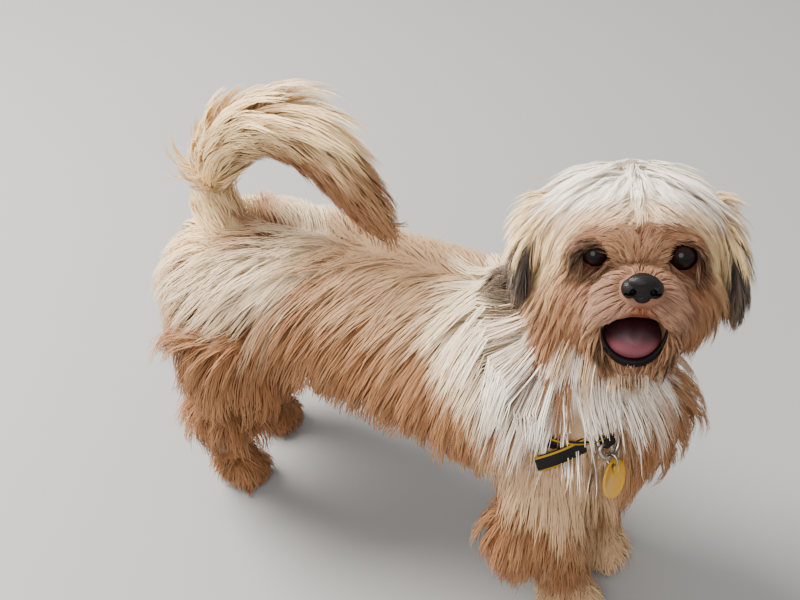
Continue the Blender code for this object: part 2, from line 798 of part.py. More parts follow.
def part_head(rest, parts):
    """Ears, lower jaw and head parted from the body."""
    far = 200
    nodes = {}
    lean = HEAD_TURN @ THROAT_FACING.to_track_quat("Z", "Y").to_matrix()
    throat = HEAD_AT - HEAD_TURN @ THROAT_FACING * THROAT_DEPTH
    above_throat = turned_cell((-120, -120, 0), (120, 120, 200), throat, lean, parts)
    whole_head = carve(rest, "head", above_throat, parts)
    nodes["ear_right"] = carve(
        whole_head, "ear_right", head_cell((-60, -far, -far), (40, -EAR_PLANE, far), parts), parts)
    nodes["ear_left"] = carve(
        whole_head, "ear_left", head_cell((-60, EAR_PLANE, -far), (40, far, far), parts), parts)
    nodes["lower_jaw"] = carve(
        whole_head, "lower_jaw", head_cell((14, -27, -far), (far, 25, JAW_TOP), parts), parts)
    keep_largest(whole_head)
    nodes["head"] = whole_head
    return nodes


def part_body(rest, parts):
    """Tail, neck, legs, paws and the three lengths of the torso."""
    nodes = {}
    tail_root = Vector((-158, -8, 243))
    lean = Matrix.Rotation(-BACK_LEAN, 3, "Y")
    tail = carve(
        rest, "tail_base", turned_cell((-120, -120, 0), (152, 130, 220), tail_root, lean, parts), parts)
    base_top, rise_x, tip_x = TAIL_CUTS
    nodes["tail_tip"] = carve(
        tail, "tail_tip", cell_beyond(Vector((tip_x, 0, 0)), Vector((1, 0, 0)), parts), parts)
    nodes["tail_arch"] = carve(
        tail, "tail_arch", cell_beyond(Vector((rise_x, 0, 0)), Vector((1, 0, 0)), parts), parts)
    nodes["tail_rise"] = carve(tail, "tail_rise", cell_beyond(Vector((0, 0, base_top)), UP, parts), parts)
    keep_largest(tail)
    nodes["tail_base"] = tail
    for name, low, high, side in (
            ("paw_front_right", 40, 200, -1), ("paw_front_left", 40, 200, 1),
            ("paw_hind_right", -260, -60, -1), ("paw_hind_left", -260, -60, 1)):
        split = LEG_SPLITS["fore" if low > 0 else "hind"]
        y_low, y_high = (-160, split) if side < 0 else (split, 160)
        nodes[name] = carve(rest, name, cell_box((low, y_low, -40), (high, y_high, PAW_TOP), parts), parts)
    for name, low, high, top, side in (
            ("foreleg_right", 40, 200, FORELEG_TOP, -1), ("foreleg_left", 40, 200, FORELEG_TOP, 1),
            ("hindleg_right", -260, TORSO_CUTS[0], HINDLEG_TOP, -1),
            ("hindleg_left", -260, TORSO_CUTS[0], HINDLEG_TOP, 1)):
        split = LEG_SPLITS["fore" if low > 0 else "hind"]
        y_low, y_high = (-160, split) if side < 0 else (split, 160)
        nodes[name] = carve(rest, name, cell_box((low, y_low, -40), (high, y_high, top), parts), parts)
    nodes["neck"] = carve(rest, "neck", cell_beyond(COLLAR_AT, COLLAR_AXIS, parts), parts)
    rump_x, chest_x = TORSO_CUTS
    nodes["rump"] = carve(
        rest, "rump", cell_beyond(Vector((rump_x, 0, 0)), Vector((-1, 0, 0)), parts), parts)
    nodes["chest"] = carve(
        rest, "chest", cell_beyond(Vector((chest_x, 0, 0)), Vector((1, 0, 0)), parts), parts)
    keep_largest(rest)
    rest.name = "barrel"
    nodes["barrel"] = rest
    return nodes


def hardware_frame():
    """Where the ring hangs: its place on the strap, along the strap, outwards and down the chest."""
    front, across = collar_frame()
    seat = COLLAR_AT + front * (COLLAR_REACH[0] + COLLAR_THICKNESS / 2)
    hang = Vector((0.25, -0.15, -0.95))
    hang = (hang - across * hang.dot(across)).normalized()
    return seat, across, hang.cross(across), hang


def wire_loop(name, points, radius, facing, collection, sides=6):
    """A closed wire through points that lie in the plane facing one way."""
    rings = []
    for i, point in enumerate(points):
        along = (points[(i + 1) % len(points)] - points[i - 1]).normalized()
        side = along.cross(facing)
        rings.append([
            point + (side * math.cos(turn) + facing * math.sin(turn)) * radius
            for turn in (math.tau * k / sides for k in range(sides))])
    return closed_loop(name, rings, collection)


def turned(vector, axis, angle):
    return Matrix.Rotation(angle, 3, axis) @ vector


def free_end(grown, collection):
    """The strap's loose end, which slants down over the right shoulder."""
    out = Vector((0.62, -0.75, 0.2)).normalized()
    start, end = FREE_END
    along = (end - start).normalized()
    wide = out.cross(along).normalized() * (FREE_END_WIDTH / 2 + grown)
    thick = out * (COLLAR_THICKNESS / 2 + grown)
    rings = []
    for k, lift in enumerate((-1.5, 0, 0.8, 0)):
        middle = start.lerp(end, k / 3) + out * lift + along * (grown if k == 3 else 0)
        rings.append([middle - wide - thick, middle + wide - thick,
                      middle + wide + thick, middle - wide + thick])
    return skin_rings("free_end", rings, collection)


def collar_nodes(parts):
    """The strap with its loose end and ring keeper, the ring, its link and the blank tag."""
    half = COLLAR_THICKNESS / 2
    seat, along, out, hang = hardware_frame()
    turn = Matrix((out, along, hang)).transposed()
    collar = closed_loop("collar", strap_rings(-half, half, COLLAR_WIDTH), parts)
    bar = seat + out * KEEPER[0] / 2
    keeper = box("keeper", seat + out * (KEEPER[0] / 2 - 0.8), KEEPER, parts, turn)
    combine(collar, [keeper, free_end(0, parts)], "UNION")

    corner = RING_WIDTH / 2 - 2
    outline = [bar + along * side * corner for side in (-1, -0.4, 0.4, 1)]
    for k in range(1, 10):
        sweep = math.pi * k / 10
        outline.append(bar + along * math.cos(sweep) * RING_WIDTH / 2
                       + hang * (1 + math.sin(sweep) * (RING_DROP - 1)))
    ring = wire_loop("collar_ring", outline, RING_WIRE, out, parts)
    bore = [
        [bar + along * reach + (out * math.cos(angle) + hang * math.sin(angle)) * (RING_WIRE + GAP)
         for angle in (math.tau * k / 10 for k in range(10))]
        for reach in (-KEEPER[1], KEEPER[1])]
    combine(collar, [skin_rings("bore", bore, parts)], "DIFFERENCE")

    lower_wire = bar + hang * RING_DROP
    link_middle = lower_wire + hang * (LINK_RADIUS - LINK_WIRE - RING_WIRE - GAP)
    link_out = turned(out, hang, TAG_TURN / 2)
    link_points = [
        link_middle + (link_out * math.cos(angle) + hang * math.sin(angle)) * LINK_RADIUS
        for angle in (math.tau * k / 12 for k in range(12))]
    link = wire_loop("tag_link", link_points, LINK_WIRE, link_out.cross(hang), parts)

    hole_at = link_middle + hang * LINK_RADIUS
    tag_face = turned(out, hang, TAG_TURN)
    tag = disc("tag", hole_at + hang * (TAG_RADIUS - TAG_HOLE - TAG_RIM), tag_face,
               TAG_RADIUS, TAG_THICKNESS, parts, 28)
    combine(tag, [disc("hole", hole_at, tag_face, TAG_HOLE, TAG_THICKNESS * 3, parts, 12)], "DIFFERENCE")
    return [collar, ring, link, tag]


def disc(name, at, facing, radius, thickness, collection, sides):
    """A round plate whose faces look along one direction."""
    form = bmesh.new()
    bmesh.ops.create_cone(
        form, cap_ends=True, segments=sides, radius1=radius, radius2=radius, depth=thickness)
    turn = facing.to_track_quat("Z", "Y").to_matrix().to_4x4()
    bmesh.ops.transform(form, matrix=Matrix.Translation(at) @ turn, verts=form.verts)
    return from_bmesh(name, form, collection)


def clearances(collection):
    """Room in the coat for the strap, its loose end, the ring and the tag."""
    half = COLLAR_THICKNESS / 2
    seat, along, out, hang = hardware_frame()
    turn = Matrix((out, along, hang)).transposed()
    return [
        closed_loop(
            "groove", strap_rings(-half - GAP, half + GAP, COLLAR_WIDTH + 2 * GAP), collection),
        free_end(GAP, collection),
        ball("pocket", seat + out * 9 + hang * 24, POCKET_RADII, collection, turn),
    ]


def dress(piece, finish):
    """Gives a node its material and smooth shading."""
    colour = COATS[finish]
    material = bpy.data.materials.get(finish) or bpy.data.materials.new(finish)
    material.use_nodes = True
    shader = material.node_tree.nodes["Principled BSDF"]
    shader.inputs["Base Color"].default_value = colour
    shader.inputs["Metallic"].default_value = 1.0 if finish == "steel" else 0.0
    shader.inputs["Roughness"].default_value = 0.3 if finish in ("wet_black", "steel") else 0.75
    piece.data.materials.clear()
    piece.data.materials.append(material)
    piece.data.shade_smooth()


FINISHES = {
    "nose": "wet_black", "eye_left": "eye_brown", "eye_right": "eye_brown", "tongue": "tongue_pink",
    "ear_left": "grey", "ear_right": "grey", "head": "white", "lower_jaw": "white", "neck": "white",
    "chest": "white", "collar": "webbing", "collar_ring": "steel", "tag_link": "steel",
    "tag": "yellow",
}


def main():
    clear_scene()
    parts = bpy.data.collections.new("shih_tzu")
    bpy.context.scene.collection.children.link(parts)
    body = body_core(parts)
    head = head_core(parts)
    draws = random.Random(SEED)
    body_coat = Coat(body, parts, draws)
    lay_torso(body_coat)
    lay_rump(body_coat)
    lay_chest(body_coat)
    for stations in (FORELEG_RIGHT, FORELEG_LEFT, HINDLEG_RIGHT, HINDLEG_LEFT):
        lay_leg(body_coat, stations)
    lay_paws(body_coat)
    lay_tail(body_coat)
    head_coat = Coat(head, parts, draws)
    lay_head(head_coat)
    lay_ears(head_coat)
    combine(head, head_coat.locks, "UNION")
    thin_out(head, HEAD_TRIANGLES)
    combine(head, face_details(head, parts), "DIFFERENCE")
    combine(body, body_coat.locks, "UNION")
    thin_out(body, BODY_TRIANGLES)
    combine(body, [head], "UNION")
    combine(body, [half_space("floor", Vector((0, 0, 0)), -UP, parts)], "DIFFERENCE")
    combine(body, clearances(parts), "DIFFERENCE")
    made = part_head(body, parts)
    made.update(part_body(body, parts))
    for piece in small_face_nodes(parts) + collar_nodes(parts):
        made[piece.name] = piece
    for name, piece in made.items():
        piece.name = name
        piece.data.transform(Matrix.Scale(MM, 4) @ Matrix.Translation(SHIFT))
        dress(piece, FINISHES.get(name, "gold"))


main()
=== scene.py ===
"""A life-size standing shih tzu: its skin, coat, face and collar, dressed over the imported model."""

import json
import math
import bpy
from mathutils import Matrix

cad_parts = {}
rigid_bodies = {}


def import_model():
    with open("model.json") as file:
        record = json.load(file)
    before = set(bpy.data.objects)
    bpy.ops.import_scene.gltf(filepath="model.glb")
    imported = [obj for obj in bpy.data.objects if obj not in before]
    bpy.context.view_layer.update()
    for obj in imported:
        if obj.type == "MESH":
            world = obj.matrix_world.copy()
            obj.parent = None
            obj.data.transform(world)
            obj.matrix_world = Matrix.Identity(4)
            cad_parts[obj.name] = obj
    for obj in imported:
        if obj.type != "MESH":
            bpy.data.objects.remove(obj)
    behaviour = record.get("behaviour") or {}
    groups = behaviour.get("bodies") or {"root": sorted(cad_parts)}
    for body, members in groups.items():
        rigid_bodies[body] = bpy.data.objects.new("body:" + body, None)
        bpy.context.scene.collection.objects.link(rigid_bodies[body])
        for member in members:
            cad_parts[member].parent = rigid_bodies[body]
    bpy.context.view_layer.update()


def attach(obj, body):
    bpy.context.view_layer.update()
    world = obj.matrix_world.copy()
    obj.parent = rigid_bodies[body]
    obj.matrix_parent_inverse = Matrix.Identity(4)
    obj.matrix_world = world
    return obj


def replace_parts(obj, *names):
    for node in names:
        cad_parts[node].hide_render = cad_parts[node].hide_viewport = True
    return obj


bl_info = {
    "name": "Shih Tzu Figure",
    "version": (1, 0, 0),
    "blender": (4, 5, 0),
    "location": "3D View > Sidebar > Shih Tzu",
    "description": "Builds the skin, the coat of tufts, the face and the collar of a standing shih tzu",
    "category": "Object",
}

from typing import NamedTuple

import bmesh
import bpy
import numpy as np
from bpy.props import FloatProperty, FloatVectorProperty, IntProperty, PointerProperty
from mathutils import Matrix, Vector
from mathutils.bvhtree import BVHTree
from mathutils.kdtree import KDTree

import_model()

# Lengths below are millimetres in the dog's own frame; SHIFT takes that frame to the model's
MM = 0.001
SHIFT = Vector((-2.33, -0.29, 0.0))
UP = Vector((0, 0, 1))
SEED = 5

# Torso and neck: centre x, y, z, half width and half height of the skin
TORSO = (
    (-186, -14, 188, 34, 34), (-168, -10, 186, 54, 49), (-132, -3, 185, 62, 53),
    (-85, 5, 184, 62, 52), (-35, 9, 181, 62, 54), (15, 8, 178, 64, 58), (60, 2, 176, 66, 62),
    (98, -3, 174, 64, 62), (126, -4, 172, 55, 57), (150, -7, 170, 42, 46), (166, -11, 168, 25, 27))
NECK = ((76, -4, 194, 56, 49), (100, 2, 220, 49, 45), (122, 11, 247, 43, 42))
# Legs: centre x, y, z and radius, from the body down to the pastern
LEGS = {
    "foreleg_right": (
        (102, -34, 162, 28), (108, -45, 128, 27), (113, -47, 96, 23), (121, -40, 62, 18),
        (126, -35, 26, 17)),
    "foreleg_left": (
        (106, 26, 165, 38), (110, 34, 128, 29), (114, 36, 96, 23), (124, 28, 62, 18),
        (128, 22, 26, 17)),
    "hindleg_right": (
        (-132, -38, 180, 44), (-128, -44, 145, 40), (-140, -40, 108, 31), (-163, -32, 72, 24),
        (-163, -25, 30, 20)),
    "hindleg_left": (
        (-134, 32, 180, 44), (-134, 46, 145, 40), (-148, 50, 108, 31), (-172, 48, 72, 24),
        (-172, 45, 30, 20)),
}
ELBOWS = ((97, -59, 84), (97, 46, 84))
ELBOW_RADII = (21, 15, 30)
PAWS = ((130, -34), (132, 21), (-156, -22), (-165, 45))
PAW_RADII = (22, 17, 15)
PAW_HEIGHT = 11
TOES = 4
TOE_RADII = (9, 5.5, 8)
TOE_SPACING = 8
TOE_REACH = 15
TOE_CURVE = 0.35
TOE_HEIGHT = 7
TAIL = (
    (-148, -8, 222, 20), (-160, -8, 248, 17), (-163, -8, 276, 16), (-149, -8, 303, 16),
    (-122, -8, 321, 17), (-94, -8, 324, 18), (-70, -8, 313, 17), (-51, -8, 296, 15),
    (-38, -8, 281, 12), (-29, -8, 271, 8))
TAIL_MIDDLE = Vector((-88, -8, 268))
# How far the tail's skin is slimmer than its core in the solids
TAIL_SLIM = 0.78

# Head: its own frame, forward along the face, left and up, from the middle of the skull
HEAD_AT = Vector((134, 14, 272))
FACE_TURN = math.radians(-66.5)
FACE_TILT = math.radians(25)
SKULL = ((-6, 0, 20, 49, 49, 42), (2, 0, -12, 46, 52, 38), (-14, 0, -14, 44, 48, 38))
BROW = (22, 0, 20, 22, 40, 18)
MUZZLE = (43, 0, -9, 20, 25, 17)
LIP_PAD = (48, 12, -15, 13, 14, 11)
CHIN = (33, 0, -44, 19, 21, 14)
EYE_AT = (34.5, 26, 14.5)
EYE_RADIUS = 9.3
# How far from the eye's front the pupil ends, the iris ends and the white starts
PUPIL_EDGE = (3.6, 4.6)
IRIS_EDGE = (6.4, 7.4)
WHITE_EDGE = (10.2, 11.4)
LID_RADIUS = 11
LID_SLITS = ((16, 7.6, 6.6), (16, 8.7, 8.0))
SLIT_FORWARD = 8
SEAT_GAP = 0.2
# Nose: place and radii of its lobes, its wings, the two hollows of a nostril and its groove
NOSE_LOBES = (
    ((60, 0, 0.5), (7, 9.8, 7.8)), ((62.5, 0, 3.3), (6, 9.6, 4.8)), ((60, 0, -6), (5, 5.5, 4)))
NOSE_WING = ((61, 7.4, -1), (5.6, 5, 5.8))
NOSTRIL = (((66.4, 6, -2.4), (5, 2.2, 2.3)), ((65.4, 8.8, -3.6), (4, 2.4, 1)))
NOSE_GROOVE = ((69.6, 0, -5.5), (3, 0.7, 8))
MOUTH_AT = (45, -2.5, -26.5)
MOUTH_RADII = (26, 21.5, 22.5)
MOUTH_ROOF = 0.45
LIP_THICKNESS = 2
# The dark rim: its share of the mouth's radii, its radius above and how much more it has below
RIM_SHARE = 0.9
RIM_RADIUS = 0.6
RIM_FULLNESS = 2.3
RIM_FORWARD = 11
RIM_DIP = (3.5, 1.5)
TONGUE_AT = (41, -2.5, -33.5)
TONGUE_RADII = (20, 18, 14.5)
TROUGH_WIDTH = 3.2
TROUGH_DEPTH = 1.6
EAR_PATH = ((46, 40, -16), (56, 30, -16), (64, 12, -13), (67, -8, -10), (66, -27, -8))
EAR_HALF_WIDTHS = (17, 21, 22, 20, 11)
EAR_THICKNESS = 4

# Collar: a flat strap in a tilted plane low on the neck
COLLAR_AT = Vector((96, -15, 206))
COLLAR_AXIS = Vector((0.52, -0.2, 0.83)).normalized()
COLLAR_FRONT = Vector((0.788, -0.327, -0.521))
COLLAR_REACH = (61, 54)
COLLAR_WIDTH = 15
COLLAR_THICKNESS = 2.4
FREE_END = (Vector((136.8, -52.6, 177.4)), Vector((112, -73.7, 169.5)))
FREE_END_WIDTH = 12
FREE_END_OUT = Vector((0.62, -0.75, 0.2)).normalized()
# How the chest slopes where the ring hangs
CHEST_SLOPE = Vector((0.25, -0.15, -0.95))
RING_WIDTH = 19
RING_DROP = 12
RING_WIRE = 1.4
KEEPER = (6.5, 9, 8)
LINK_RADIUS = 4.6
LINK_WIRE = 0.8
TAG_RADIUS = 13.5
TAG_THICKNESS = 1.6
TAG_TURN = math.radians(-10)
TAG_HOLE = 2
TAG_RIM = 1.6
TAG_SIDES = 72
POCKET_RADII = (21, 22, 42)
POCKET_OUT = 9
POCKET_DOWN = 24

# Cells of the grids that forms are melted together on
BODY_CELL = 2.6
HEAD_CELL = 1.5
NOSE_CELL = 0.5
FLOOR_CUT = (900, 900, 100)

# Camera of the photograph, fitted to the dog
CAMERA_AT = Vector((296.4, -617.0, 727.1))
CAMERA_TO = Vector((-32.3, 23.2, 187.1))
CAMERA_ROLL = math.radians(-1.01)
CAMERA_LENS = 56.25
CAMERA_SENSOR = 36

FLESH = (
    "barrel", "chest", "neck", "rump", "head", "lower_jaw", "ear_left", "ear_right",
    "foreleg_left", "foreleg_right", "hindleg_left", "hindleg_right", "paw_front_left",
    "paw_front_right", "paw_hind_left", "paw_hind_right", "tail_base", "tail_rise",
    "tail_arch", "tail_tip")


class Make(NamedTuple):
    """How one piece of the coat is made."""

    tufts: int
    width: float
    # How far tufts draw together to their lock, how far they wave and how many sections they have
    gather: float
    wave: float
    sections: int
    # How fast locks rise from the skin and how far they swing off the coat's lie
    rise: float
    swing: float


COAT_PIECES = {
    "coat_face_right": Make(7600, 0.5, 0.15, 0.3, 3, 0.025, 0.06),
    "coat_face_left": Make(7600, 0.5, 0.15, 0.3, 3, 0.025, 0.06),
    "coat_crown": Make(8200, 0.65, 0.15, 0.5, 3, 0.02, 0.03),
    "coat_cheeks": Make(7600, 0.65, 0.2, 0.7, 3, 0.025, 0.07),
    "coat_ears": Make(4800, 0.7, 0.25, 0.9, 3, 0.025, 0.07),
    "coat_neck": Make(6600, 0.8, 0.15, 0.8, 4, 0.02, 0.05),
    "coat_chest": Make(5800, 0.78, 0.2, 1.1, 4, 0.025, 0.07),
    "coat_barrel": Make(7200, 0.75, 0.2, 0.9, 4, 0.02, 0.05),
    "coat_rump": Make(6400, 0.78, 0.25, 1.1, 4, 0.025, 0.07),
    "coat_forelegs": Make(5400, 0.85, 0.2, 1.3, 3, 0.025, 0.08),
    "coat_hindlegs": Make(5600, 0.85, 0.25, 1.7, 3, 0.03, 0.1),
    "coat_paws": Make(3400, 0.7, 0.25, 1.1, 3, 0.03, 0.12),
    "coat_tail": Make(5800, 0.75, 0.25, 1.3, 4, 0.025, 0.08),
}
HEAD_PIECES = ("coat_face_right", "coat_face_left", "coat_crown", "coat_cheeks", "coat_ears")


def rgb(red, green, blue):
    """A colour given as a screen shows it, in the linear values that shaders take."""
    return tuple((part / 255) ** 2.2 for part in (red, green, blue)) + (1,)


def turns(count):
    """Even turns round a circle, in radians."""
    return [math.tau * k / count for k in range(count)]


def opaque(colour):
    """A setting's colour with the fourth value that sockets take."""
    return (*colour, 1)


def head_axes():
    forward = Vector((
        math.cos(FACE_TURN) * math.cos(FACE_TILT), math.sin(FACE_TURN) * math.cos(FACE_TILT),
        math.sin(FACE_TILT)))
    left = UP.cross(forward).normalized()
    return forward, left, forward.cross(left)


FORWARD, LEFT, HEAD_UP = head_axes()
HEAD_TURN = Matrix((FORWARD, LEFT, HEAD_UP)).transposed()


def on_head(forward, left, up):
    return HEAD_AT + HEAD_TURN @ Vector((forward, left, up))


def both_sides(forward, left, up):
    return [(side, on_head(forward, left * side, up)) for side in (-1, 1)]


# Meshes


def new_object(name, mesh):
    piece = bpy.data.objects.new(name, mesh)
    bpy.context.scene.collection.objects.link(piece)
    return piece


def from_bmesh(name, form):
    bmesh.ops.recalc_face_normals(form, faces=form.faces)
    mesh = bpy.data.meshes.new(name)
    form.to_mesh(mesh)
    form.free()
    return new_object(name, mesh)


def ball(name, at, radii, turn=None, detail=(32, 20)):
    """An ellipsoid whose poles lie along its third radius."""
    form = bmesh.new()
    bmesh.ops.create_uvsphere(form, u_segments=detail[0], v_segments=detail[1], radius=1)
    place = Matrix.Diagonal((*radii, 1))
    if turn is not None:
        place = turn.to_4x4() @ place
    bmesh.ops.transform(form, matrix=Matrix.Translation(at) @ place, verts=form.verts)
    return from_bmesh(name, form)


def loft(name, rings, closed=False):
    """A skin through rings of points, with filled ends unless its last ring joins its first."""
    form = bmesh.new()
    loops = [[form.verts.new(point) for point in ring] for ring in rings]
    following = loops[1:] + (loops[:1] if closed else [])
    for ring, after in zip(loops, following):
        for i in range(len(ring)):
            j = (i + 1) % len(ring)
            form.faces.new((ring[i], ring[j], after[j], after[i]))
    if not closed:
        form.faces.new(loops[0])
        form.faces.new(loops[-1])
    return from_bmesh(name, form)


def tube(name, stations, sides=28):
    """A loft of ellipses: each station is x, y, z, half width and half height, or one radius."""
    centres = [Vector(station[:3]) for station in stations]
    rings = []
    for i, station in enumerate(stations):
        along = (centres[min(i + 1, len(centres) - 1)] - centres[max(i - 1, 0)]).normalized()
        side = UP.cross(along)
        side = side.normalized() if side.length > 0.2 else Vector((0, 1, 0))
        over = along.cross(side)
        rings.append([
            centres[i] + side * station[3] * math.cos(turn) + over * station[-1] * math.sin(turn)
            for turn in turns(sides)])
    return loft(name, rings)


def applied(piece):
    """The object with its modifiers made real."""
    graph = bpy.context.evaluated_depsgraph_get()
    mesh = bpy.data.meshes.new_from_object(piece.evaluated_get(graph), depsgraph=graph)
    piece.modifiers.clear()
    old = piece.data
    piece.data = mesh
    bpy.data.meshes.remove(old)
    return piece


def discard(pieces):
    for piece in list(pieces):
        bpy.data.objects.remove(piece, do_unlink=True)


def melt(name, pieces, voxel, smoothing):
    """Closed forms that overlap, blended into one smooth skin."""
    form = bmesh.new()
    for piece in pieces:
        form.from_mesh(piece.data)
    skin = from_bmesh(name, form)
    discard(pieces)
    remesh = skin.modifiers.new("voxels", "REMESH")
    remesh.mode = "VOXEL"
    remesh.voxel_size = voxel
    smooth = skin.modifiers.new("smooth", "SMOOTH")
    smooth.factor = 0.5
    smooth.iterations = smoothing
    return applied(skin)


def combine(piece, others, operation):
    group = bpy.data.collections.new("operands")
    bpy.context.scene.collection.children.link(group)
    for other in others:
        for home in other.users_collection:
            home.objects.unlink(other)
        group.objects.link(other)
    boolean = piece.modifiers.new("combine", "BOOLEAN")
    boolean.operation = operation
    boolean.operand_type = "COLLECTION"
    boolean.collection = group
    boolean.solver = "MANIFOLD"
    applied(piece)
    discard(group.objects)
    bpy.data.collections.remove(group)


def point_values(mesh, key):
    """Every point's place or normal, as rows of three."""
    values = np.empty(len(mesh.vertices) * 3, np.float32)
    mesh.vertices.foreach_get(key, values)
    return values.reshape(-1, 3)


def store_values(mesh, name, values):
    """Keeps one number for each point, for the materials to read."""
    mesh.attributes.new(name, "FLOAT", "POINT").data.foreach_set("value", values)


def store_places(mesh):
    """Keeps each point's own place, in millimetres, for the materials to read."""
    places = point_values(mesh, "co").ravel()
    mesh.attributes.new("root", "FLOAT_VECTOR", "POINT").data.foreach_set("vector", places)


def finish_piece(piece, material):
    """Scales a piece to metres, gives it its material and hangs it on the body."""
    mesh = piece.data
    if "root" not in mesh.attributes:
        store_places(mesh)
    mesh.transform(Matrix.Scale(MM, 4) @ Matrix.Translation(SHIFT))
    mesh.polygons.foreach_set("use_smooth", [True] * len(mesh.polygons))
    mesh.materials.clear()
    mesh.materials.append(material)
    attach(piece, "root")
    return piece


# Materials


class Wire:
    """One value of a material, so that shader maths can be written as sums."""

    def __init__(self, recipe, socket):
        self.recipe = recipe
        self.socket = socket

    def sum(self, operation, *values):
        return self.recipe.node("ShaderNodeMath", {"operation": operation}, values)

    def __add__(self, other):
        return self.sum("ADD", self, other)

    def __radd__(self, other):
        return self.sum("ADD", other, self)

    def __sub__(self, other):
        return self.sum("SUBTRACT", self, other)

    def __rsub__(self, other):
        return self.sum("SUBTRACT", other, self)

    def __mul__(self, other):
        return self.sum("MULTIPLY", self, other)

    def __rmul__(self, other):
        return self.sum("MULTIPLY", other, self)

    def __abs__(self):
        return self.sum("ABSOLUTE", self)


class Recipe:
    """A material built round one Principled shader."""

    def __init__(self, name, **constants):
        self.material = bpy.data.materials.new(name)
        self.material.use_nodes = True
        self.tree = self.material.node_tree
        self.shader = self.tree.nodes["Principled BSDF"]
        for socket, value in constants.items():
            self.shader.inputs[socket.replace("_", " ")].default_value = value

    def node(self, kind, settings, values, output=0):
        """A node of one type with its settings and the values or wires of its sockets."""
        made = self.tree.nodes.new(kind)
        for key, value in settings.items():
            setattr(made, key, value)
        pairs = values.items() if isinstance(values, dict) else enumerate(values)
        for key, value in pairs:
            if isinstance(value, Wire):
                self.tree.links.new(value.socket, made.inputs[key])
            else:
                made.inputs[key].default_value = value
        return Wire(self, made.outputs[output])

    def vector(self, operation, *values):
        output = 1 if operation in ("LENGTH", "DOT_PRODUCT", "DISTANCE") else 0
        return self.node("ShaderNodeVectorMath", {"operation": operation}, values, output)

    def attribute(self, name, output=1):
        settings = {"attribute_type": "GEOMETRY", "attribute_name": name}
        return self.node("ShaderNodeAttribute", settings, {}, output)

    def noise(self, place, scale, detail=2, roughness=0.5):
        values = {"Vector": place, "Scale": scale, "Detail": detail, "Roughness": roughness}
        return self.node("ShaderNodeTexNoise", {}, values)

    def ramp(self, value, low, high):
        """0 below the low value and 1 above the high one, with soft ends."""
        settings = {"interpolation_type": "SMOOTHSTEP"}
        values = {"Value": value, "From Min": low, "From Max": high}
        return self.node("ShaderNodeMapRange", settings, values)

    def mix(self, first, second, share, blend="MIX"):
        settings = {"data_type": "RGBA", "blend_type": blend, "clamp_factor": True}
        return self.node("ShaderNodeMix", settings, {0: share, 6: first, 7: second}, 2)

    def feed(self, socket, wire):
        self.tree.links.new(wire.socket, self.shader.inputs[socket])

    def bump(self, height, strength, distance):
        values = {"Height": height, "Strength": strength, "Distance": distance}
        self.feed("Normal", self.node("ShaderNodeBump", {}, values))

    def split(self, place):
        return [self.node("ShaderNodeSeparateXYZ", {}, {0: place}, k) for k in range(3)]

    def join(self, x, y, z):
        return self.node("ShaderNodeCombineXYZ", {}, (x, y, z))


# Palette of the coat
GOLD = rgb(140, 95, 62)
CREAM = rgb(206, 172, 134)
PALE = rgb(244, 226, 192)
WHITE = rgb(253, 246, 234)
TAN = rgb(134, 88, 58)
# Painted shade: the darker colour laid under the belly and on the lower hind legs
PAINTED_SHADE = rgb(110, 70, 45)
TAUPE = rgb(112, 74, 54)
RUST = rgb(108, 54, 34)
DARK = rgb(40, 24, 18)
SLATE = rgb(70, 64, 62)
# The muzzle's and chin's pink, darkened partly as painted shade over the face
SHADED_PINK = rgb(122, 88, 74)
STRAW = rgb(236, 206, 156)

# Each marking: centre, radii, colour and strength. Those of the head lie on both sides, and later
# ones cover earlier ones
BODY_MARKS = (
    ((4, 6, 240), (112, 54, 38), CREAM, 0.6),
    ((72, -10, 240), (44, 64, 34), PALE, 0.8),
    ((-130, -4, 225), (60, 70, 36), PALE, 0.7),
    ((-178, -10, 190), (26, 60, 60), CREAM, 0.45),
    ((10, 4, 132), (120, 90, 26), TAN, 0.7),
    # Painted shade under the belly
    ((10, 4, 112), (110, 90, 20), PAINTED_SHADE, 0.55),
    ((-150, 4, 95), (60, 90, 50), TAN, 0.55),
    # Painted shade on the lower hind legs and feet
    ((-150, 10, 60), (60, 90, 30), PAINTED_SHADE, 0.35),
    ((-150, 8, 20), (50, 80, 26), GOLD, 0.6),
    ((124, -6, 236), (43, 90, 46), WHITE, 0.95),
    ((134, 14, 268), (60, 80, 40), CREAM, 1.0),
    ((116, -50, 168), (44, 50, 34), CREAM, 0.85),
    # Cream on the chest's left side and low on its front: partly the coat's own cream, partly painted
    # shade
    ((142, 40, 170), (52, 40, 60), CREAM, 0.7),
    ((130, -6, 110), (40, 50, 50), CREAM, 0.5),
    ((97, -66, 80), (30, 24, 30), TAN, 0.5),
    ((97, 50, 88), (30, 22, 38), TAN, 0.5),
    ((128, -6, 22), (44, 60, 30), CREAM, 0.8),
)
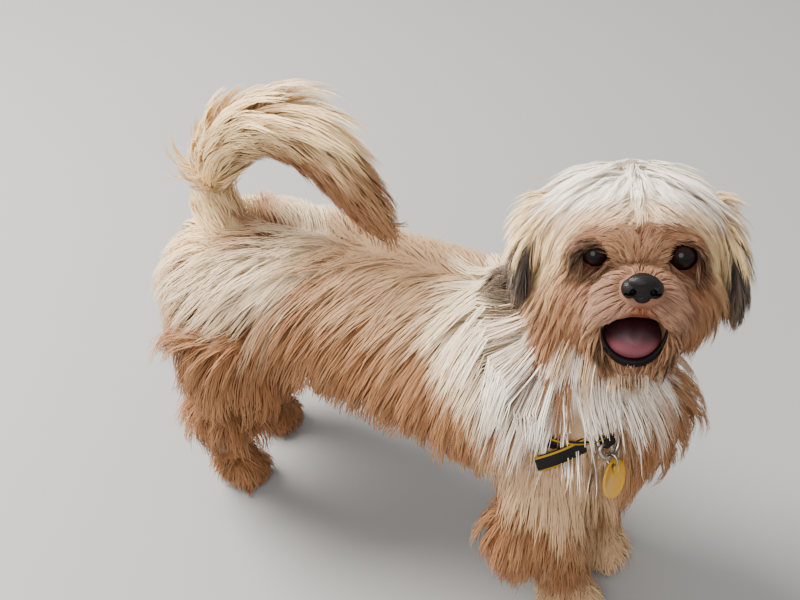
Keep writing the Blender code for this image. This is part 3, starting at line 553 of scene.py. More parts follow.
# The head's base colour, darkened partly as painted shade over the face
SHADED_HEAD_BASE = rgb(150, 110, 82)
HEAD_MARKS = (
    ((0, 50, 30), (56, 26, 44), STRAW, 0.8),
    ((4, 0, 60), (62, 38, 29), WHITE, 1.0),
    ((34, 16, 42), (20, 32, 9), CREAM, 0.8),
    # The cheeks' tan is laid on strongly, partly as painted shade over the lower face
    ((30, 40, -16), (34, 22, 40), TAN, 0.75),
    ((50, 10, -8), (22, 26, 17), SHADED_PINK, 0.8),
    ((42, 20, 27), (14, 28, 9), TAUPE, 0.95),
    ((38, 27, 14), (16, 16, 13), TAUPE, 0.9),
    ((38, 27, 14), (16, 11.5, 10.5), DARK, 0.95),
    ((42, 33, 0), (14, 12, 12), RUST, 0.35),
    ((54, 0, -17), (16, 9, 8), RUST, 0.9),
    ((36, 26, -42), (16, 8, 16), RUST, 0.7),
    ((48, 23, -40), (12, 5, 13), DARK, 0.8),
    ((46, 0, -54), (12, 11, 6), SHADED_PINK, 0.9),
    ((34, 2.5, -33), (19, 18, 17), DARK, 1.0),
    ((-8, 64, 28), (34, 26, 24), STRAW, 0.85),
    ((-34, 66, 0), (20, 26, 36), PALE, 0.9),
    ((0, 74, -3), (25, 20, 30), SLATE, 1.0),
)


# How far off its centre, as a share of its radii, a marking starts to fade and ends
MARK_EDGE = (0.62, 1.25)
# The plume's markings: its foot, the slope of its foot, its inner edge, its tip and its end
PLUME_FOOT = (250, 262)
PLUME_SLOPE = 0.18
PLUME_EDGE = (48, 68)
PLUME_TIP = (-85, -40)
PLUME_END = (0, 20)


def markings(recipe, place, loose):
    """The coat's colours by the place of the root, with painted shade in some markings; loose mixes
    tufts over the edges of a marking.
    """
    x, y, z = recipe.split(place)
    away = recipe.vector("SUBTRACT", place, tuple(HEAD_AT))
    forward, left, up = (
        recipe.vector("DOT_PRODUCT", away, tuple(axis)) for axis in (FORWARD, LEFT, HEAD_UP))
    face = recipe.join(forward, abs(left), up)
    ragged = recipe.noise(place, 0.07, 3, 0.6) * 0.4 - 0.2 + loose

    def spot(where, centre, radii):
        reach = recipe.vector("DIVIDE", recipe.vector("SUBTRACT", where, centre), radii)
        return 1 - recipe.ramp(recipe.vector("LENGTH", reach) + ragged, *MARK_EDGE)

    colour = GOLD
    for centre, radii, tint, strength in BODY_MARKS:
        colour = recipe.mix(colour, tint, spot(place, centre, radii) * strength)
    # The plume is pale outside and gold inside its arch and towards its tip
    plume = recipe.ramp(z - x * PLUME_SLOPE, *PLUME_FOOT)
    reach = recipe.vector("LENGTH", recipe.join(x - TAIL_MIDDLE.x, 0.0, z - TAIL_MIDDLE.z))
    tip = recipe.ramp(x, *PLUME_TIP)
    outside = recipe.ramp(reach + ragged * 16, *PLUME_EDGE) * (1 - tip * 0.75)
    plume = plume * (1 - recipe.ramp(x, *PLUME_END))
    colour = recipe.mix(colour, recipe.mix(TAN, STRAW, outside), plume)
    head = SHADED_HEAD_BASE
    for centre, radii, tint, strength in HEAD_MARKS:
        head = recipe.mix(head, tint, spot(face, centre, radii) * strength)
    return recipe.mix(colour, head, recipe.attribute("head", 2))


def coat_material(name, roughness, tufted):
    """Hair: the markings, with painted shade darkening each tuft towards its root, paler at the tip,
    streaked along its length.
    """
    recipe = Recipe(name, Roughness=roughness, Specular_IOR_Level=0.15)
    place = recipe.attribute("root")
    tone = recipe.attribute("tone", 2) if tufted else 0.5
    colour = markings(recipe, place, tone * 0.4 - 0.2)
    grain = recipe.noise(place, 0.9, 4, 0.65)
    if tufted:
        along = recipe.attribute("along", 2)
        colour = recipe.mix(colour, CREAM, along * tone * 0.3)
        # Painted shade: each tuft darkens a little towards its root
        shade = 0.92 + 0.08 * recipe.ramp(along, -0.1, 0.6)
        shade = shade * (0.9 + 0.12 * tone) * (0.95 + 0.1 * grain)
    else:
        shade = 0.8 + 0.3 * grain
    grey = recipe.join(shade, shade, shade)
    colour = recipe.mix(colour, grey, 1.0, "MULTIPLY")
    recipe.feed("Base Color", colour)
    if not tufted:
        recipe.bump(grain, 0.5, 0.0008)
    return recipe.material


# Skin


def ear_rings(side):
    """Flat ovals down a hanging ear."""
    rings = []
    for (left, up, forward), wide in zip(EAR_PATH, EAR_HALF_WIDTHS):
        rings.append([
            on_head(forward + wide * math.cos(turn), side * (left + EAR_THICKNESS * math.sin(turn)), up)
            for turn in turns(20)])
    return rings


def mouth_form(name, grown, deep):
    """The mouth's opening: wide across its upper part and rounder below."""
    radii = (deep, MOUTH_RADII[1] + grown, MOUTH_RADII[2] + grown)
    form = ball(name, (0, 0, 0), radii, None, (48, 28))
    for vertex in form.data.vertices:
        if vertex.co.z > 0:
            vertex.co.z *= MOUTH_ROOF
        vertex.co = HEAD_TURN @ vertex.co + on_head(*MOUTH_AT)
    return form


def head_skin():
    """Skull, brow, muzzle, lips, chin, lids and the two hanging ears."""
    parts = [
        ball("lobe", on_head(*lobe[:3]), lobe[3:], HEAD_TURN)
        for lobe in (*SKULL, BROW, MUZZLE, CHIN)]
    for side, at in both_sides(*LIP_PAD[:3]):
        parts.append(ball("pad", at, LIP_PAD[3:], HEAD_TURN))
        parts.append(loft("ear", ear_rings(side)))
    core = melt("head_skin", parts, HEAD_CELL, 5)
    lips = mouth_form("lips", LIP_THICKNESS, MOUTH_RADII[0] * 0.7)
    lids = [ball("lid", at, (LID_RADIUS,) * 3, HEAD_TURN) for _, at in both_sides(*EYE_AT)]
    combine(core, [*lids, lips], "UNION")
    hollows = [mouth_form("mouth", 0, MOUTH_RADII[0])]
    forward, left, up = EYE_AT
    for _, at in both_sides(*EYE_AT):
        hollows.append(ball("seat", at, (EYE_RADIUS + SEAT_GAP,) * 3, HEAD_TURN))
    for slit, (_, at) in zip(LID_SLITS, both_sides(forward + SLIT_FORWARD, left, up)):
        hollows.append(ball("slit", at, slit, HEAD_TURN))
    combine(core, hollows, "DIFFERENCE")
    return core


def pocket_form():
    """The dip in the chest that the ring and the tag hang in."""
    seat, along, out, hang = hardware_frame()
    turn = Matrix((out, along, hang)).transposed()
    return ball("pocket", seat + out * POCKET_OUT + hang * POCKET_DOWN, POCKET_RADII, turn)


def body_skin():
    parts = [tube("torso", TORSO), tube("neck", NECK)]
    parts += [tube("leg", stations, 22) for stations in LEGS.values()]
    parts += [ball("elbow", at, ELBOW_RADII) for at in ELBOWS]
    for x, y in PAWS:
        parts.append(ball("paw", (x, y, PAW_HEIGHT), PAW_RADII))
        for toe in range(TOES):
            across = (toe - (TOES - 1) / 2) * TOE_SPACING
            at = (x + TOE_REACH - abs(across) * TOE_CURVE, y + across, TOE_HEIGHT)
            parts.append(ball("toe", at, TOE_RADII))
    parts.append(tube("tail", [(*station[:3], station[3] * TAIL_SLIM) for station in TAIL], 18))
    skin = melt("body_skin", parts, BODY_CELL, 4)
    combine(skin, [pocket_form()], "DIFFERENCE")
    skin = melt("body_skin", [skin], BODY_CELL, 5)
    form = bmesh.new()
    bmesh.ops.create_cube(form, size=1)
    below = Matrix.Translation((0, 0, -FLOOR_CUT[2] / 2)) @ Matrix.Diagonal((*FLOOR_CUT, 1))
    bmesh.ops.transform(form, matrix=below, verts=form.verts)
    combine(skin, [from_bmesh("floor", form)], "DIFFERENCE")
    return skin


def unwrap(piece, margin):
    """A map of the piece's own shape, without overlaps, in the layer that the finish is kept in."""
    mesh = piece.data
    mesh.uv_layers.new(name="OFBake")
    bpy.context.view_layer.objects.active = piece
    piece.select_set(True)
    bpy.ops.object.mode_set(mode="EDIT")
    bpy.ops.mesh.select_all(action="SELECT")
    bpy.ops.uv.smart_project(angle_limit=math.radians(60), island_margin=margin)
    bpy.ops.object.mode_set(mode="OBJECT")
    piece.select_set(False)


class Skin:
    """The skin's surface, for roots to be drawn from and for paths to be kept off."""

    def __init__(self, piece):
        mesh = piece.data
        mesh.calc_loop_triangles()
        count = len(mesh.loop_triangles)
        corners = np.empty(count * 3, np.int32)
        mesh.loop_triangles.foreach_get("vertices", corners)
        loops = np.empty(count * 3, np.int32)
        mesh.loop_triangles.foreach_get("loops", loops)
        spread = np.empty(len(mesh.loops) * 2, np.float32)
        mesh.uv_layers["OFBake"].data.foreach_get("uv", spread)
        points = point_values(mesh, "co") / MM - np.array(SHIFT)
        self.corners = points[corners.reshape(-1, 3)]
        self.normals = point_values(mesh, "normal")[corners.reshape(-1, 3)]
        self.spread = spread.reshape(-1, 2)[loops.reshape(-1, 3)]
        edge = self.corners[:, 1:] - self.corners[:, :1]
        self.areas = np.linalg.norm(np.cross(edge[:, 0], edge[:, 1]), axis=1) / 2
        self.middles = self.corners.mean(axis=1)
        self.facing = unit(self.normals.mean(axis=1))
        self.tree = BVHTree.FromPolygons(points.tolist(), corners.reshape(-1, 3).tolist())

    def draw(self, faces, weights, count, draws):
        """Random places on some of the faces, with their normals and their place on the map."""
        share = weights / weights.sum()
        chosen = faces[draws.choice(len(faces), count, p=share)]
        first = np.sqrt(draws.random(count))
        second = draws.random(count)
        blend = np.stack([1 - first, first * (1 - second), first * second], axis=1)[:, :, None]
        places = (self.corners[chosen] * blend).sum(axis=1)
        normals = unit((self.normals[chosen] * blend).sum(axis=1))
        return places, normals, (self.spread[chosen] * blend).sum(axis=1)

    def nearest(self, places):
        found = [self.tree.find_nearest(place) for place in places.tolist()]
        return np.array([hit[0] for hit in found]), np.array([hit[1] for hit in found])


def unit(vectors):
    return vectors / np.maximum(np.linalg.norm(vectors, axis=-1, keepdims=True), 1e-6)


def flat(vectors, normals):
    """What is left of vectors along a surface."""
    return unit(vectors - normals * (vectors * normals).sum(axis=-1, keepdims=True))


# The lie of the coat

# Guides on the head: place, flow, length and stand, in the head's frame and on both sides
FACE_GUIDES = (
    ((56, 4, 9), (-0.25, 0.3, 1.0), 9, 0.4),
    ((50, 5, 17), (-0.3, 0.2, 1.0), 12, 0.4),
    ((45, 5, 26), (-0.2, 0.5, 0.8), 11, 0.3),
    ((41, 16, 27), (0, 0.95, 0.0), 11, 0.2),
    ((37, 30, 27), (-0.1, 0.85, -0.35), 13, 0.2),
    ((53, 14, 7), (-0.2, 0.95, 0.2), 11, 0.35),
    ((47, 20, 2), (-0.15, 0.9, -0.35), 14, 0.35),
    ((42, 31, 2), (-0.2, 0.6, -0.75), 16, 0.3),
    ((55, 14, -6), (-0.1, 0.95, -0.3), 18, 0.45),
    ((52, 19, -13), (-0.15, 0.8, -0.6), 23, 0.45),
    ((60, 5, -12), (0.05, 0.7, -0.6), 8, 0.3),
    ((56, 11, -16), (0.0, 0.9, -0.5), 15, 0.35),
    ((47, 27, -20), (-0.2, 0.5, -1), 25, 0.4),
    ((40, 33, -8), (-0.2, 0.5, -0.9), 24, 0.35),
    ((34, 40, 4), (-0.2, 0.35, -1), 25, 0.3),
)
CROWN_GUIDES = (
    ((40, 0, 38), (0.3, 0.05, -0.5), 7, 0.25),
    ((31, 0, 49), (0.9, 0.2, -0.2), 11, 0.2),
    ((18, 0, 58), (0.8, 0.4, 0.1), 18, 0.25),
    ((0, 0, 62), (0.7, 0.6, 0.1), 28, 0.4),
    ((-20, 0, 58), (0.3, 0.7, 0.2), 32, 0.5),
    ((41, 5, 36), (0.25, 0.95, 0.2), 15, 0.3),
    ((39, 18, 37), (0.15, 0.95, -0.15), 18, 0.3),
    ((32, 36, 32), (0, 0.55, -0.85), 34, 0.25),
    ((30, 6, 50), (0.4, 0.95, 0.1), 28, 0.2),
    ((26, 25, 46), (0.2, 0.9, -0.25), 36, 0.2),
    ((5, 7, 61), (0.3, 0.95, 0.1), 46, 0.42),
    ((2, 28, 53), (0.05, 0.8, -0.6), 46, 0.38),
    ((-25, 7, 57), (0, 0.95, 0.1), 46, 0.5),
    ((-25, 30, 46), (-0.25, 0.7, -0.7), 46, 0.4),
    ((-46, 5, 35), (-0.6, 0.4, -0.7), 42, 0.3),
    ((-53, 8, 5), (-0.35, 0.2, -1), 42, 0.3),
    ((-48, 30, 0), (-0.3, 0.3, -1), 42, 0.3),
)
CHEEK_GUIDES = (
    ((18, 47, 22), (0, 0.25, -1), 38, 0.35),
    ((24, 45, 0), (-0.1, 0.35, -1), 36, 0.4),
    ((24, 44, -22), (-0.1, 0.3, -1), 35, 0.45),
    ((35, 33, -34), (-0.05, 0.35, -1), 28, 0.4),
    ((41, 15, -53), (0.05, 0.25, -1), 18, 0.3),
    ((46, 3, -53), (0.15, 0, -1), 13, 0.25),
    ((30, 12, -58), (0, 0.15, -1), 24, 0.3),
    ((12, 32, -50), (-0.1, 0.2, -1), 38, 0.4),
    ((-5, 50, -20), (-0.1, 0.2, -1), 38, 0.4),
    ((-22, 40, -40), (-0.2, 0.15, -1), 40, 0.4),
    ((-45, 12, -30), (-0.3, 0.1, -1), 42, 0.35),
)
EAR_GUIDES = (
    ((-16, 46, 40), (0, 0.9, -0.2), 32, 0.9),
    ((-16, 62, 30), (0, 0.6, -0.8), 28, 0.8),
    ((4, 73, 6), (0.1, 0.15, -1), 32, 0.35),
    ((-26, 73, 6), (0.1, 0.15, -1), 24, 0.3),
    ((4, 72, -16), (0.1, 0.1, -1), 24, 0.25),
    ((-26, 72, -16), (0.1, 0.1, -1), 16, 0.2),
    ((-8, 70, -30), (0, 0.05, -1), 14, 0.2),
)
# Round the torso: turn from the top of the back, length and stand
TORSO_GUIDES = (
    (4, 38, 0.35), (45, 44, 0.3), (80, 48, 0.32), (112, 54, 0.35), (145, 54, 0.4), (176, 40, 0.4))
# The left side of the chest, whose fuller hair stands off: turns, flow, share of length and stand
RUFF_TURNS = (40, 170)
RUFF_FLOW = (0.3, 0.6, -1)
RUFF_LENGTH = 1.25
RUFF_STAND = 0.9
CROUP_X = -70
CROUP_STAND = 0.75
COLLAR_TOP_X = 60
WITHERS_TOP = 249
RUMP_X = -95
CHEST_X = 118
LEG_HAIR = (36, 34, 32, 26)
PAW_HAIR = 12
NECK_HAIR = 44
CHEST_HAIR = 56
# Length of the plume's hair at each station of the tail, from its root
PLUME_LENGTHS = (18, 26, 36, 56, 68, 58, 42, 32, 27, 24)
INNER_LENGTHS = (30, 34, 34, 28, 24, 22, 22, 22, 22, 22)
PLUME_STAND = 0.7
PLUME_TURNS = (0, 50, -50, 100, -100, 180)
# A guide's weight falls with the square of its distance, softened, to this power
GUIDE_SOFTNESS = 30
GUIDE_FALL = 2.5
# Places are worked through in batches, to keep the tables of distances small
BATCH = 8000
# The ear's flap, in the head's frame: its inner side, its clearance, its lower end and the nape
EAR_INSIDE = 53
EAR_CLEARANCE = 4
EAR_BOTTOM = -34
NAPE = (10, -52)
TOP_FACING = 0.45


def batches(count):
    return [slice(start, start + BATCH) for start in range(0, count, BATCH)]


class Lie:
    """Which way hair lies, how long it is and how far it stands, from guides over the dog."""

    def __init__(self):
        self.places, self.flows, self.sizes, self.pieces = [], [], [], []

    def add(self, piece, place, flow, length, stand):
        self.places.append(tuple(place))
        self.flows.append(tuple(Vector(flow).normalized()))
        self.sizes.append((length, stand))
        self.pieces.append(piece)

    def settle(self):
        self.places = np.array(self.places)
        self.flows = np.array(self.flows)
        self.sizes = np.array(self.sizes)
        self.heads = np.isin(self.pieces, HEAD_PIECES)

    def apart(self, places):
        return ((places[:, None, :] - self.places[None, :, :]) ** 2).sum(axis=2)

    def at(self, places, name):
        """Flows, lengths and stands. Hair heeds only the guides of its own realm, head or body."""
        heeded = self.heads == (name in HEAD_PIECES)
        flows = np.empty((len(places), 3))
        sizes = np.empty((len(places), 2))
        for part in batches(len(places)):
            weights = heeded / (self.apart(places[part]) + GUIDE_SOFTNESS) ** GUIDE_FALL
            weights /= weights.sum(axis=1, keepdims=True)
            flows[part] = weights @ self.flows
            sizes[part] = weights @ self.sizes
        return flows, sizes[:, 0], sizes[:, 1]

    def names_at(self, places, normals):
        """The coat piece that each place belongs to."""
        nearest = [np.argmin(self.apart(places[part]), axis=1) for part in batches(len(places))]
        names = np.array(self.pieces)[np.concatenate(nearest)]
        # The withers lie right under the right ear, and their hair isn't the ear's
        local = (places - np.array(HEAD_AT)) @ np.array(HEAD_TURN)
        lefts, ups, _ = np.array(EAR_PATH[::-1]).T
        off_ear = np.abs(np.abs(local[:, 1]) - np.interp(local[:, 2], ups, lefts))
        beside = off_ear > EAR_THICKNESS + EAR_CLEARANCE
        low = (places[:, 2] < WITHERS_TOP) & (np.abs(local[:, 1]) > EAR_INSIDE)
        withers = low & (beside | (local[:, 2] < EAR_BOTTOM) | (normals[:, 2] > TOP_FACING))
        withers |= (local[:, 0] < NAPE[0]) & (local[:, 2] < NAPE[1])
        names[withers & np.isin(names, HEAD_PIECES)] = "coat_neck"
        return names


def head_guides(lie):
    tables = (
        ("coat_face", FACE_GUIDES), ("coat_crown", CROWN_GUIDES), ("coat_cheeks", CHEEK_GUIDES),
        ("coat_ears", EAR_GUIDES))
    for piece, guides in tables:
        for (forward, left, up), (ahead, aside, rise), length, stand in guides:
            for side, place in both_sides(forward, left, up):
                name = piece
                if piece == "coat_face":
                    name += "_left" if side > 0 else "_right"
                flow = HEAD_TURN @ Vector((ahead, aside * side, rise))
                lie.add(name, place, flow, length, stand)


def level_ray(degrees):
    turn = math.radians(degrees)
    return Vector((math.cos(turn), math.sin(turn), 0))


def torso_guide(x, turn, side, length, stand):
    """The piece that a guide on the torso is for, and its flow, length and stand."""
    top = max(math.cos(math.radians(turn)), 0)
    flow = Vector((-0.35 - 0.5 * top, side * 0.95 * top, -1))
    if x < CROUP_X and turn < 50:
        stand = CROUP_STAND
    if x < RUMP_X:
        flow.x -= 0.2
        return "coat_rump", flow, length, stand * 1.5
    if x >= CHEST_X:
        if side > 0 and RUFF_TURNS[0] < turn < RUFF_TURNS[1]:
            return "coat_chest", Vector(RUFF_FLOW), CHEST_HAIR * RUFF_LENGTH, RUFF_STAND
        return "coat_chest", Vector((0.15, side * 0.1, -1)), CHEST_HAIR, 0.5
    if x >= COLLAR_TOP_X:
        flow.x *= 0.3
        return "coat_neck", flow, NECK_HAIR, 0.35
    return "coat_barrel", flow, length, stand


def body_guides(lie):
    for x, y, z, wide, high in TORSO:
        for turn, length, stand in TORSO_GUIDES:
            for side in (-1, 1):
                lean = math.radians(turn)
                place = Vector((x, y + side * wide * math.sin(lean), z + high * math.cos(lean)))
                name, flow, hair, off = torso_guide(x, turn, side, length, stand)
                lie.add(name, place, flow, hair, off)
    for x, y, z, wide, high in NECK:
        for turn in range(0, 360, 45):
            level = level_ray(turn).yxz
            place = Vector((x, y, z)) + level * wide
            flow = level * 0.15 - UP * 1.2 - Vector((0.15, 0, 0))
            lie.add("coat_neck", place, flow, NECK_HAIR, 0.4)


def limb_guides(lie):
    for name, stations in LEGS.items():
        piece = "coat_forelegs" if name.startswith("fore") else "coat_hindlegs"
        for (x, y, z, radius), length in zip(stations[1:], LEG_HAIR):
            for turn in range(0, 360, 60):
                level = level_ray(turn)
                place = Vector((x, y, z)) + level * radius
                stand = 0.6 if piece == "coat_hindlegs" else 0.4
                lie.add(piece, place, Vector((-0.1, 0, -1)) + level * 0.1, length, stand)
    for x, y in PAWS:
        for turn in range(0, 360, 45):
            level = level_ray(turn)
            place = Vector((x + level.x * PAW_RADII[0], y + level.y * PAW_RADII[1], PAW_HEIGHT + 2))
            lie.add("coat_paws", place, level * 0.6 - UP, PAW_HAIR, 0.45)
        lie.add("coat_paws", (x + 6, y, PAW_HEIGHT + PAW_RADII[2]), (1, 0, -0.3), PAW_HAIR, 0.4)


def tail_guides(lie):
    centres = [Vector(station[:3]) for station in TAIL]
    for i in range(1, len(centres)):
        along = (centres[min(i + 1, len(centres) - 1)] - centres[i - 1]).normalized()
        outward = centres[i] - TAIL_MIDDLE
        outward = (outward - along * outward.dot(along)).normalized()
        lateral = along.cross(outward)
        for turn in PLUME_TURNS:
            angle = math.radians(turn)
            away = outward * math.cos(angle) + lateral * math.sin(angle)
            inner = abs(turn) > 90
            place = centres[i] + away * TAIL[i][3] * TAIL_SLIM
            flow = along + away * (0.35 if inner else 0.6)
            length = (INNER_LENGTHS if inner else PLUME_LENGTHS)[i]
            lie.add("coat_tail", place, flow, length, PLUME_STAND * (0.7 if inner else 1))


def lie_of_coat():
    lie = Lie()
    head_guides(lie)
    body_guides(lie)
    limb_guides(lie)
    tail_guides(lie)
    lie.settle()
    return lie


# Tufts

# Places that hair keeps clear of, in the head's frame: centre and radii
HEAD_CLEAR = (
    ((40, 26, 14), (14, 8.2, 7.8)), ((40, -26, 14), (14, 6.8, 5.8)), ((62, 0, -1), (14, 12.2, 9.8)),
    ((56, -2.5, -31), (26, 19, 15.5)))
PATH_STEPS = 5
STRAP_COVER = (26, 6.5)
SINK = 0.8
# How far behind the tag and the loose end hair is pressed, over what width it rises again, and how
# far it may still have to go
PRESSED = 6.0
PRESS_FADE = 4.0
STILL_BEFORE = 4.5
# Hair that is further than this before a thing belongs to another side of the dog
VIEW_DEPTH = 90
ROOTS_PER_LOCK = 12
STRAY_SHARE = 0.1
# How far a tuft is lit as the skin under it is, and as a surface that faces up
SKIN_FACING = 2.2
SKY_FACING = 0.4
PATCH = 0.003
# Shares of their length that tufts are cut to where they would hide the face or the tag
SHORTER = (0.6, 0.35, 0.2)
# By the number of sections: how far along a tuft each section is and its share of the width
WIDTH_PROFILE = {
    3: ((0, 1.1), (0.4, 1.0), (0.78, 0.6)),
    4: ((0, 1.1), (0.28, 1.0), (0.58, 0.85), (0.84, 0.5)),
}
# Ranges that are drawn for each lock or tuft, as shares of the piece's own values
LOCK_LENGTHS = (0.78, 1.16)
GATHER_RANGE = (0.6, 1.35)
REACH_RANGE = (0.72, 1.0)
WAVE_RANGE = (0.4, 1.6)
WIDTH_RANGE = (0.65, 1.3)
STRAY_GATHER = -0.25
CURL_TURN = 5.5
# Locks: their least height over the skin, how far they sag and how much of their course they keep
LEAST_HEIGHT = 0.8
SAG = 0.22
COURSE_KEPT = 0.62
FLOOR_GAP = 0.2
# A face that looks further away than this from its light is lit as it lies
TURNED_AWAY = 0.1


def away_from_face(points):
    """True where a point lies in none of the face's clear places."""
    local = (points - np.array(HEAD_AT)) @ np.array(HEAD_TURN)
    clear = np.ones(points.shape[:-1], bool)
    for centre, radii in HEAD_CLEAR:
        clear &= (((local - np.array(centre)) / np.array(radii)) ** 2).sum(axis=-1) > 1
    return clear


def behind(points, start, end, facing, reach):
    """Presses points that would hide a thing that lies along a line and is seen one way behind it."""
    start, facing = np.array(start), np.array(facing)
    line = np.array(end) - start
    share = np.clip(((points - start) @ line) / (line @ line), 0, 1)
    away = points - start - share[:, None] * line
    height = away @ facing
    across = np.linalg.norm(away - height[:, None] * facing, axis=1)
    before = (height > -PRESSED) & (height < VIEW_DEPTH)
    pressing = np.where(before, np.clip((reach + PRESS_FADE - across) / PRESS_FADE, 0, 1), 0)
    return points - facing * (pressing * (height + PRESSED))[:, None]


def over_strap(points):
    """Lifts points off the strap round the neck, so that hair passes over it."""
    front, side = (np.array(axis) for axis in collar_axes())
    away = points - np.array(COLLAR_AT)
    rise = away @ np.array(COLLAR_AXIS)
    ahead, aside = away @ front, away @ side
    reach = np.hypot(ahead / COLLAR_REACH[0], aside / COLLAR_REACH[1])
    cover = np.clip(1 - (rise / STRAP_COVER[0]) ** 2, 0, 1)
    radius = np.hypot(ahead, aside)
    need = np.where(reach > 0.7, radius / reach + STRAP_COVER[1] * cover - radius, 0) * (cover > 0)
    outward = unit(ahead[:, None] * front + aside[:, None] * side)
    return points + outward * np.maximum(need, 0)[:, None]


def comb(skin, lie, places, normals, name, draws):
    """Paths of locks from their roots, lying on the skin and bending to the coat's flow."""
    make = COAT_PIECES[name]
    flows, lengths, stands = lie.at(places, name)
    lengths = lengths * draws.uniform(*LOCK_LENGTHS, len(places))
    swing = draws.normal(0, make.swing, places.shape)
    heading = unit(flat(flows + swing, normals) + normals * stands[:, None])
    point = places - normals * SINK
    points = [point]
    for step in range(1, PATH_STEPS + 1):
        point = point + heading * (lengths / PATH_STEPS)[:, None]
        foot, facing = skin.nearest(point)
        height = ((point - foot) * facing).sum(axis=1)
        least = LEAST_HEIGHT + lengths * make.rise * step
        point = over_strap(point + facing * np.maximum(least - height, 0)[:, None])
        points.append(point)
        flows, _, _ = lie.at(point, name)
        onward = flat(flows + swing, facing) - np.array((0, 0, SAG))
        heading = unit(heading * COURSE_KEPT + onward * (1 - COURSE_KEPT))
    return np.stack(points, axis=1)


def along_path(paths, share):
    """Points a share of the way along each path."""
    place = np.clip(share * PATH_STEPS, 0, PATH_STEPS - 1e-4)
    step = place.astype(int)
    rest = (place - step)[:, None]
    rows = np.arange(len(paths))
    return paths[rows, step] * (1 - rest) + paths[rows, step + 1] * rest


class Tufts:
    """One piece's tufts before they are a mesh: their roots, their locks and their waves."""

    def __init__(self, skin, paths, places, normals, homes, make, draws):
        tufts = len(places)
        self.skin = skin
        self.places, self.normals = places, normals
        self.paths = paths[homes]
        self.offset = places - self.paths[:, 0]
        self.gather = make.gather * draws.uniform(*GATHER_RANGE, tufts)
        self.gather[draws.random(tufts) < STRAY_SHARE] = STRAY_GATHER
        self.reach = draws.uniform(*REACH_RANGE, tufts)
        self.side = unit(np.cross(normals, self.paths[:, 2] - self.paths[:, 0]))
        self.phase = draws.uniform(0, math.tau, tufts)
        self.swell = make.wave * draws.uniform(*WAVE_RANGE, tufts)
        self.drift = draws.normal(0, 1, (tufts, 3)) * make.wave * 0.5
        self.shares = [share for share, _ in WIDTH_PROFILE[make.sections]] + [1.0]
        self.clearings = collar_clearings()

    def sections(self, shorter):
        """The centre of each tuft's sections, drawn towards its lock and waved."""
        centres = [self.places - self.normals * SINK]
        for share in self.shares[1:]:
            spot = along_path(self.paths, share * self.reach * shorter)
            spot = spot + self.offset * (1 - self.gather * share ** 1.2)[:, None]
            turn = self.phase + share * CURL_TURN
            curl = np.sin(turn) * self.swell * share
            lift = np.cos(turn) * self.swell * share * 0.6
            spot = spot + self.side * curl[:, None] + self.normals * lift[:, None] + self.drift * share
            centres.append(self.pressed(over_strap(spot)))
        return np.stack(centres, axis=1)

    def pressed(self, spots):
        """Spots behind the loose end, the ring and the tag, yet above the skin."""
        pressed = spots
        for clearing in self.clearings:
            pressed = behind(pressed, *clearing)
        moved = np.flatnonzero(np.abs(pressed - spots).max(axis=1) > 0.01)
        if len(moved):
            foot, facing = self.skin.nearest(pressed[moved])
            height = ((pressed[moved] - foot) * facing).sum(axis=1)
            pressed[moved] += facing * np.maximum(1 - height, 0)[:, None]
        return pressed

    def kept_clear(self):
        """Sections of tufts that reach into no clear place, shortened where that helps."""
        shorter = np.ones(len(self.places))
        for shrunk in (1, *SHORTER):
            centres = self.sections(shorter)
            clear = in_the_clear(centres) & self.in_sight(centres)
            shorter[~clear] = shrunk
        centres = self.sections(shorter)
        return centres, in_the_clear(centres) & self.in_sight(centres)

    def in_sight(self, centres):
        """True for tufts that no longer lie over the loose end, the ring or the tag."""
        points = centres[:, 1:].reshape(-1, 3)
        clear = np.ones(len(centres), bool)
        for clearing in self.clearings:
            pushed = np.linalg.norm(behind(points, *clearing) - points, axis=1)
            clear &= (pushed.reshape(len(centres), -1) < STILL_BEFORE).all(axis=1)
        return clear


def in_the_clear(centres):
    clear = away_from_face(centres[:, 1:]).all(axis=1)
    return clear & (centres[:, :, 2].min(axis=1) > FLOOR_GAP)


def tangents(centres):
    along = np.empty_like(centres)
    along[:, 1:-1] = centres[:, 2:] - centres[:, :-2]
    along[:, 0] = centres[:, 1] - centres[:, 0]
    along[:, -1] = centres[:, -1] - centres[:, -2]
    return unit(along)


def tuft_corners(centres, normals, tangent, wide, profile):
    """Three corners round each section's centre, and the tip."""
    side = unit(np.cross(normals[:, None, :], tangent) + 1e-5)
    over = np.cross(tangent, side)
    corners = []
    for k, (_, broad) in enumerate(profile):
        half = (wide * broad / 2)[:, None]
        corners += [
            centres[:, k] - side[:, k] * half - over[:, k] * half * 0.2,
            centres[:, k] + side[:, k] * half - over[:, k] * half * 0.2,
            centres[:, k] + over[:, k] * half * 0.4]
    corners.append(centres[:, -1])
    return np.stack(corners, axis=1).reshape(-1, 3)


def tuft_faces(tufts, count):
    """Every tuft's triangles: one over its root, pairs between its sections and three at its tip."""
    per = 3 * count + 1
    triangles = [(0, 2, 1)]
    for k in range(count - 1):
        for i in range(3):
            j = (i + 1) % 3
            a, b, c, d = 3 * k + i, 3 * k + j, 3 * k + 3 + j, 3 * k + 3 + i
            triangles += [(a, b, c), (a, c, d)]
    last = 3 * (count - 1)
    triangles += [(last + i, last + (i + 1) % 3, per - 1) for i in range(3)]
    return (np.arange(tufts)[:, None, None] * per + np.array(triangles)[None]).reshape(-1, 3)


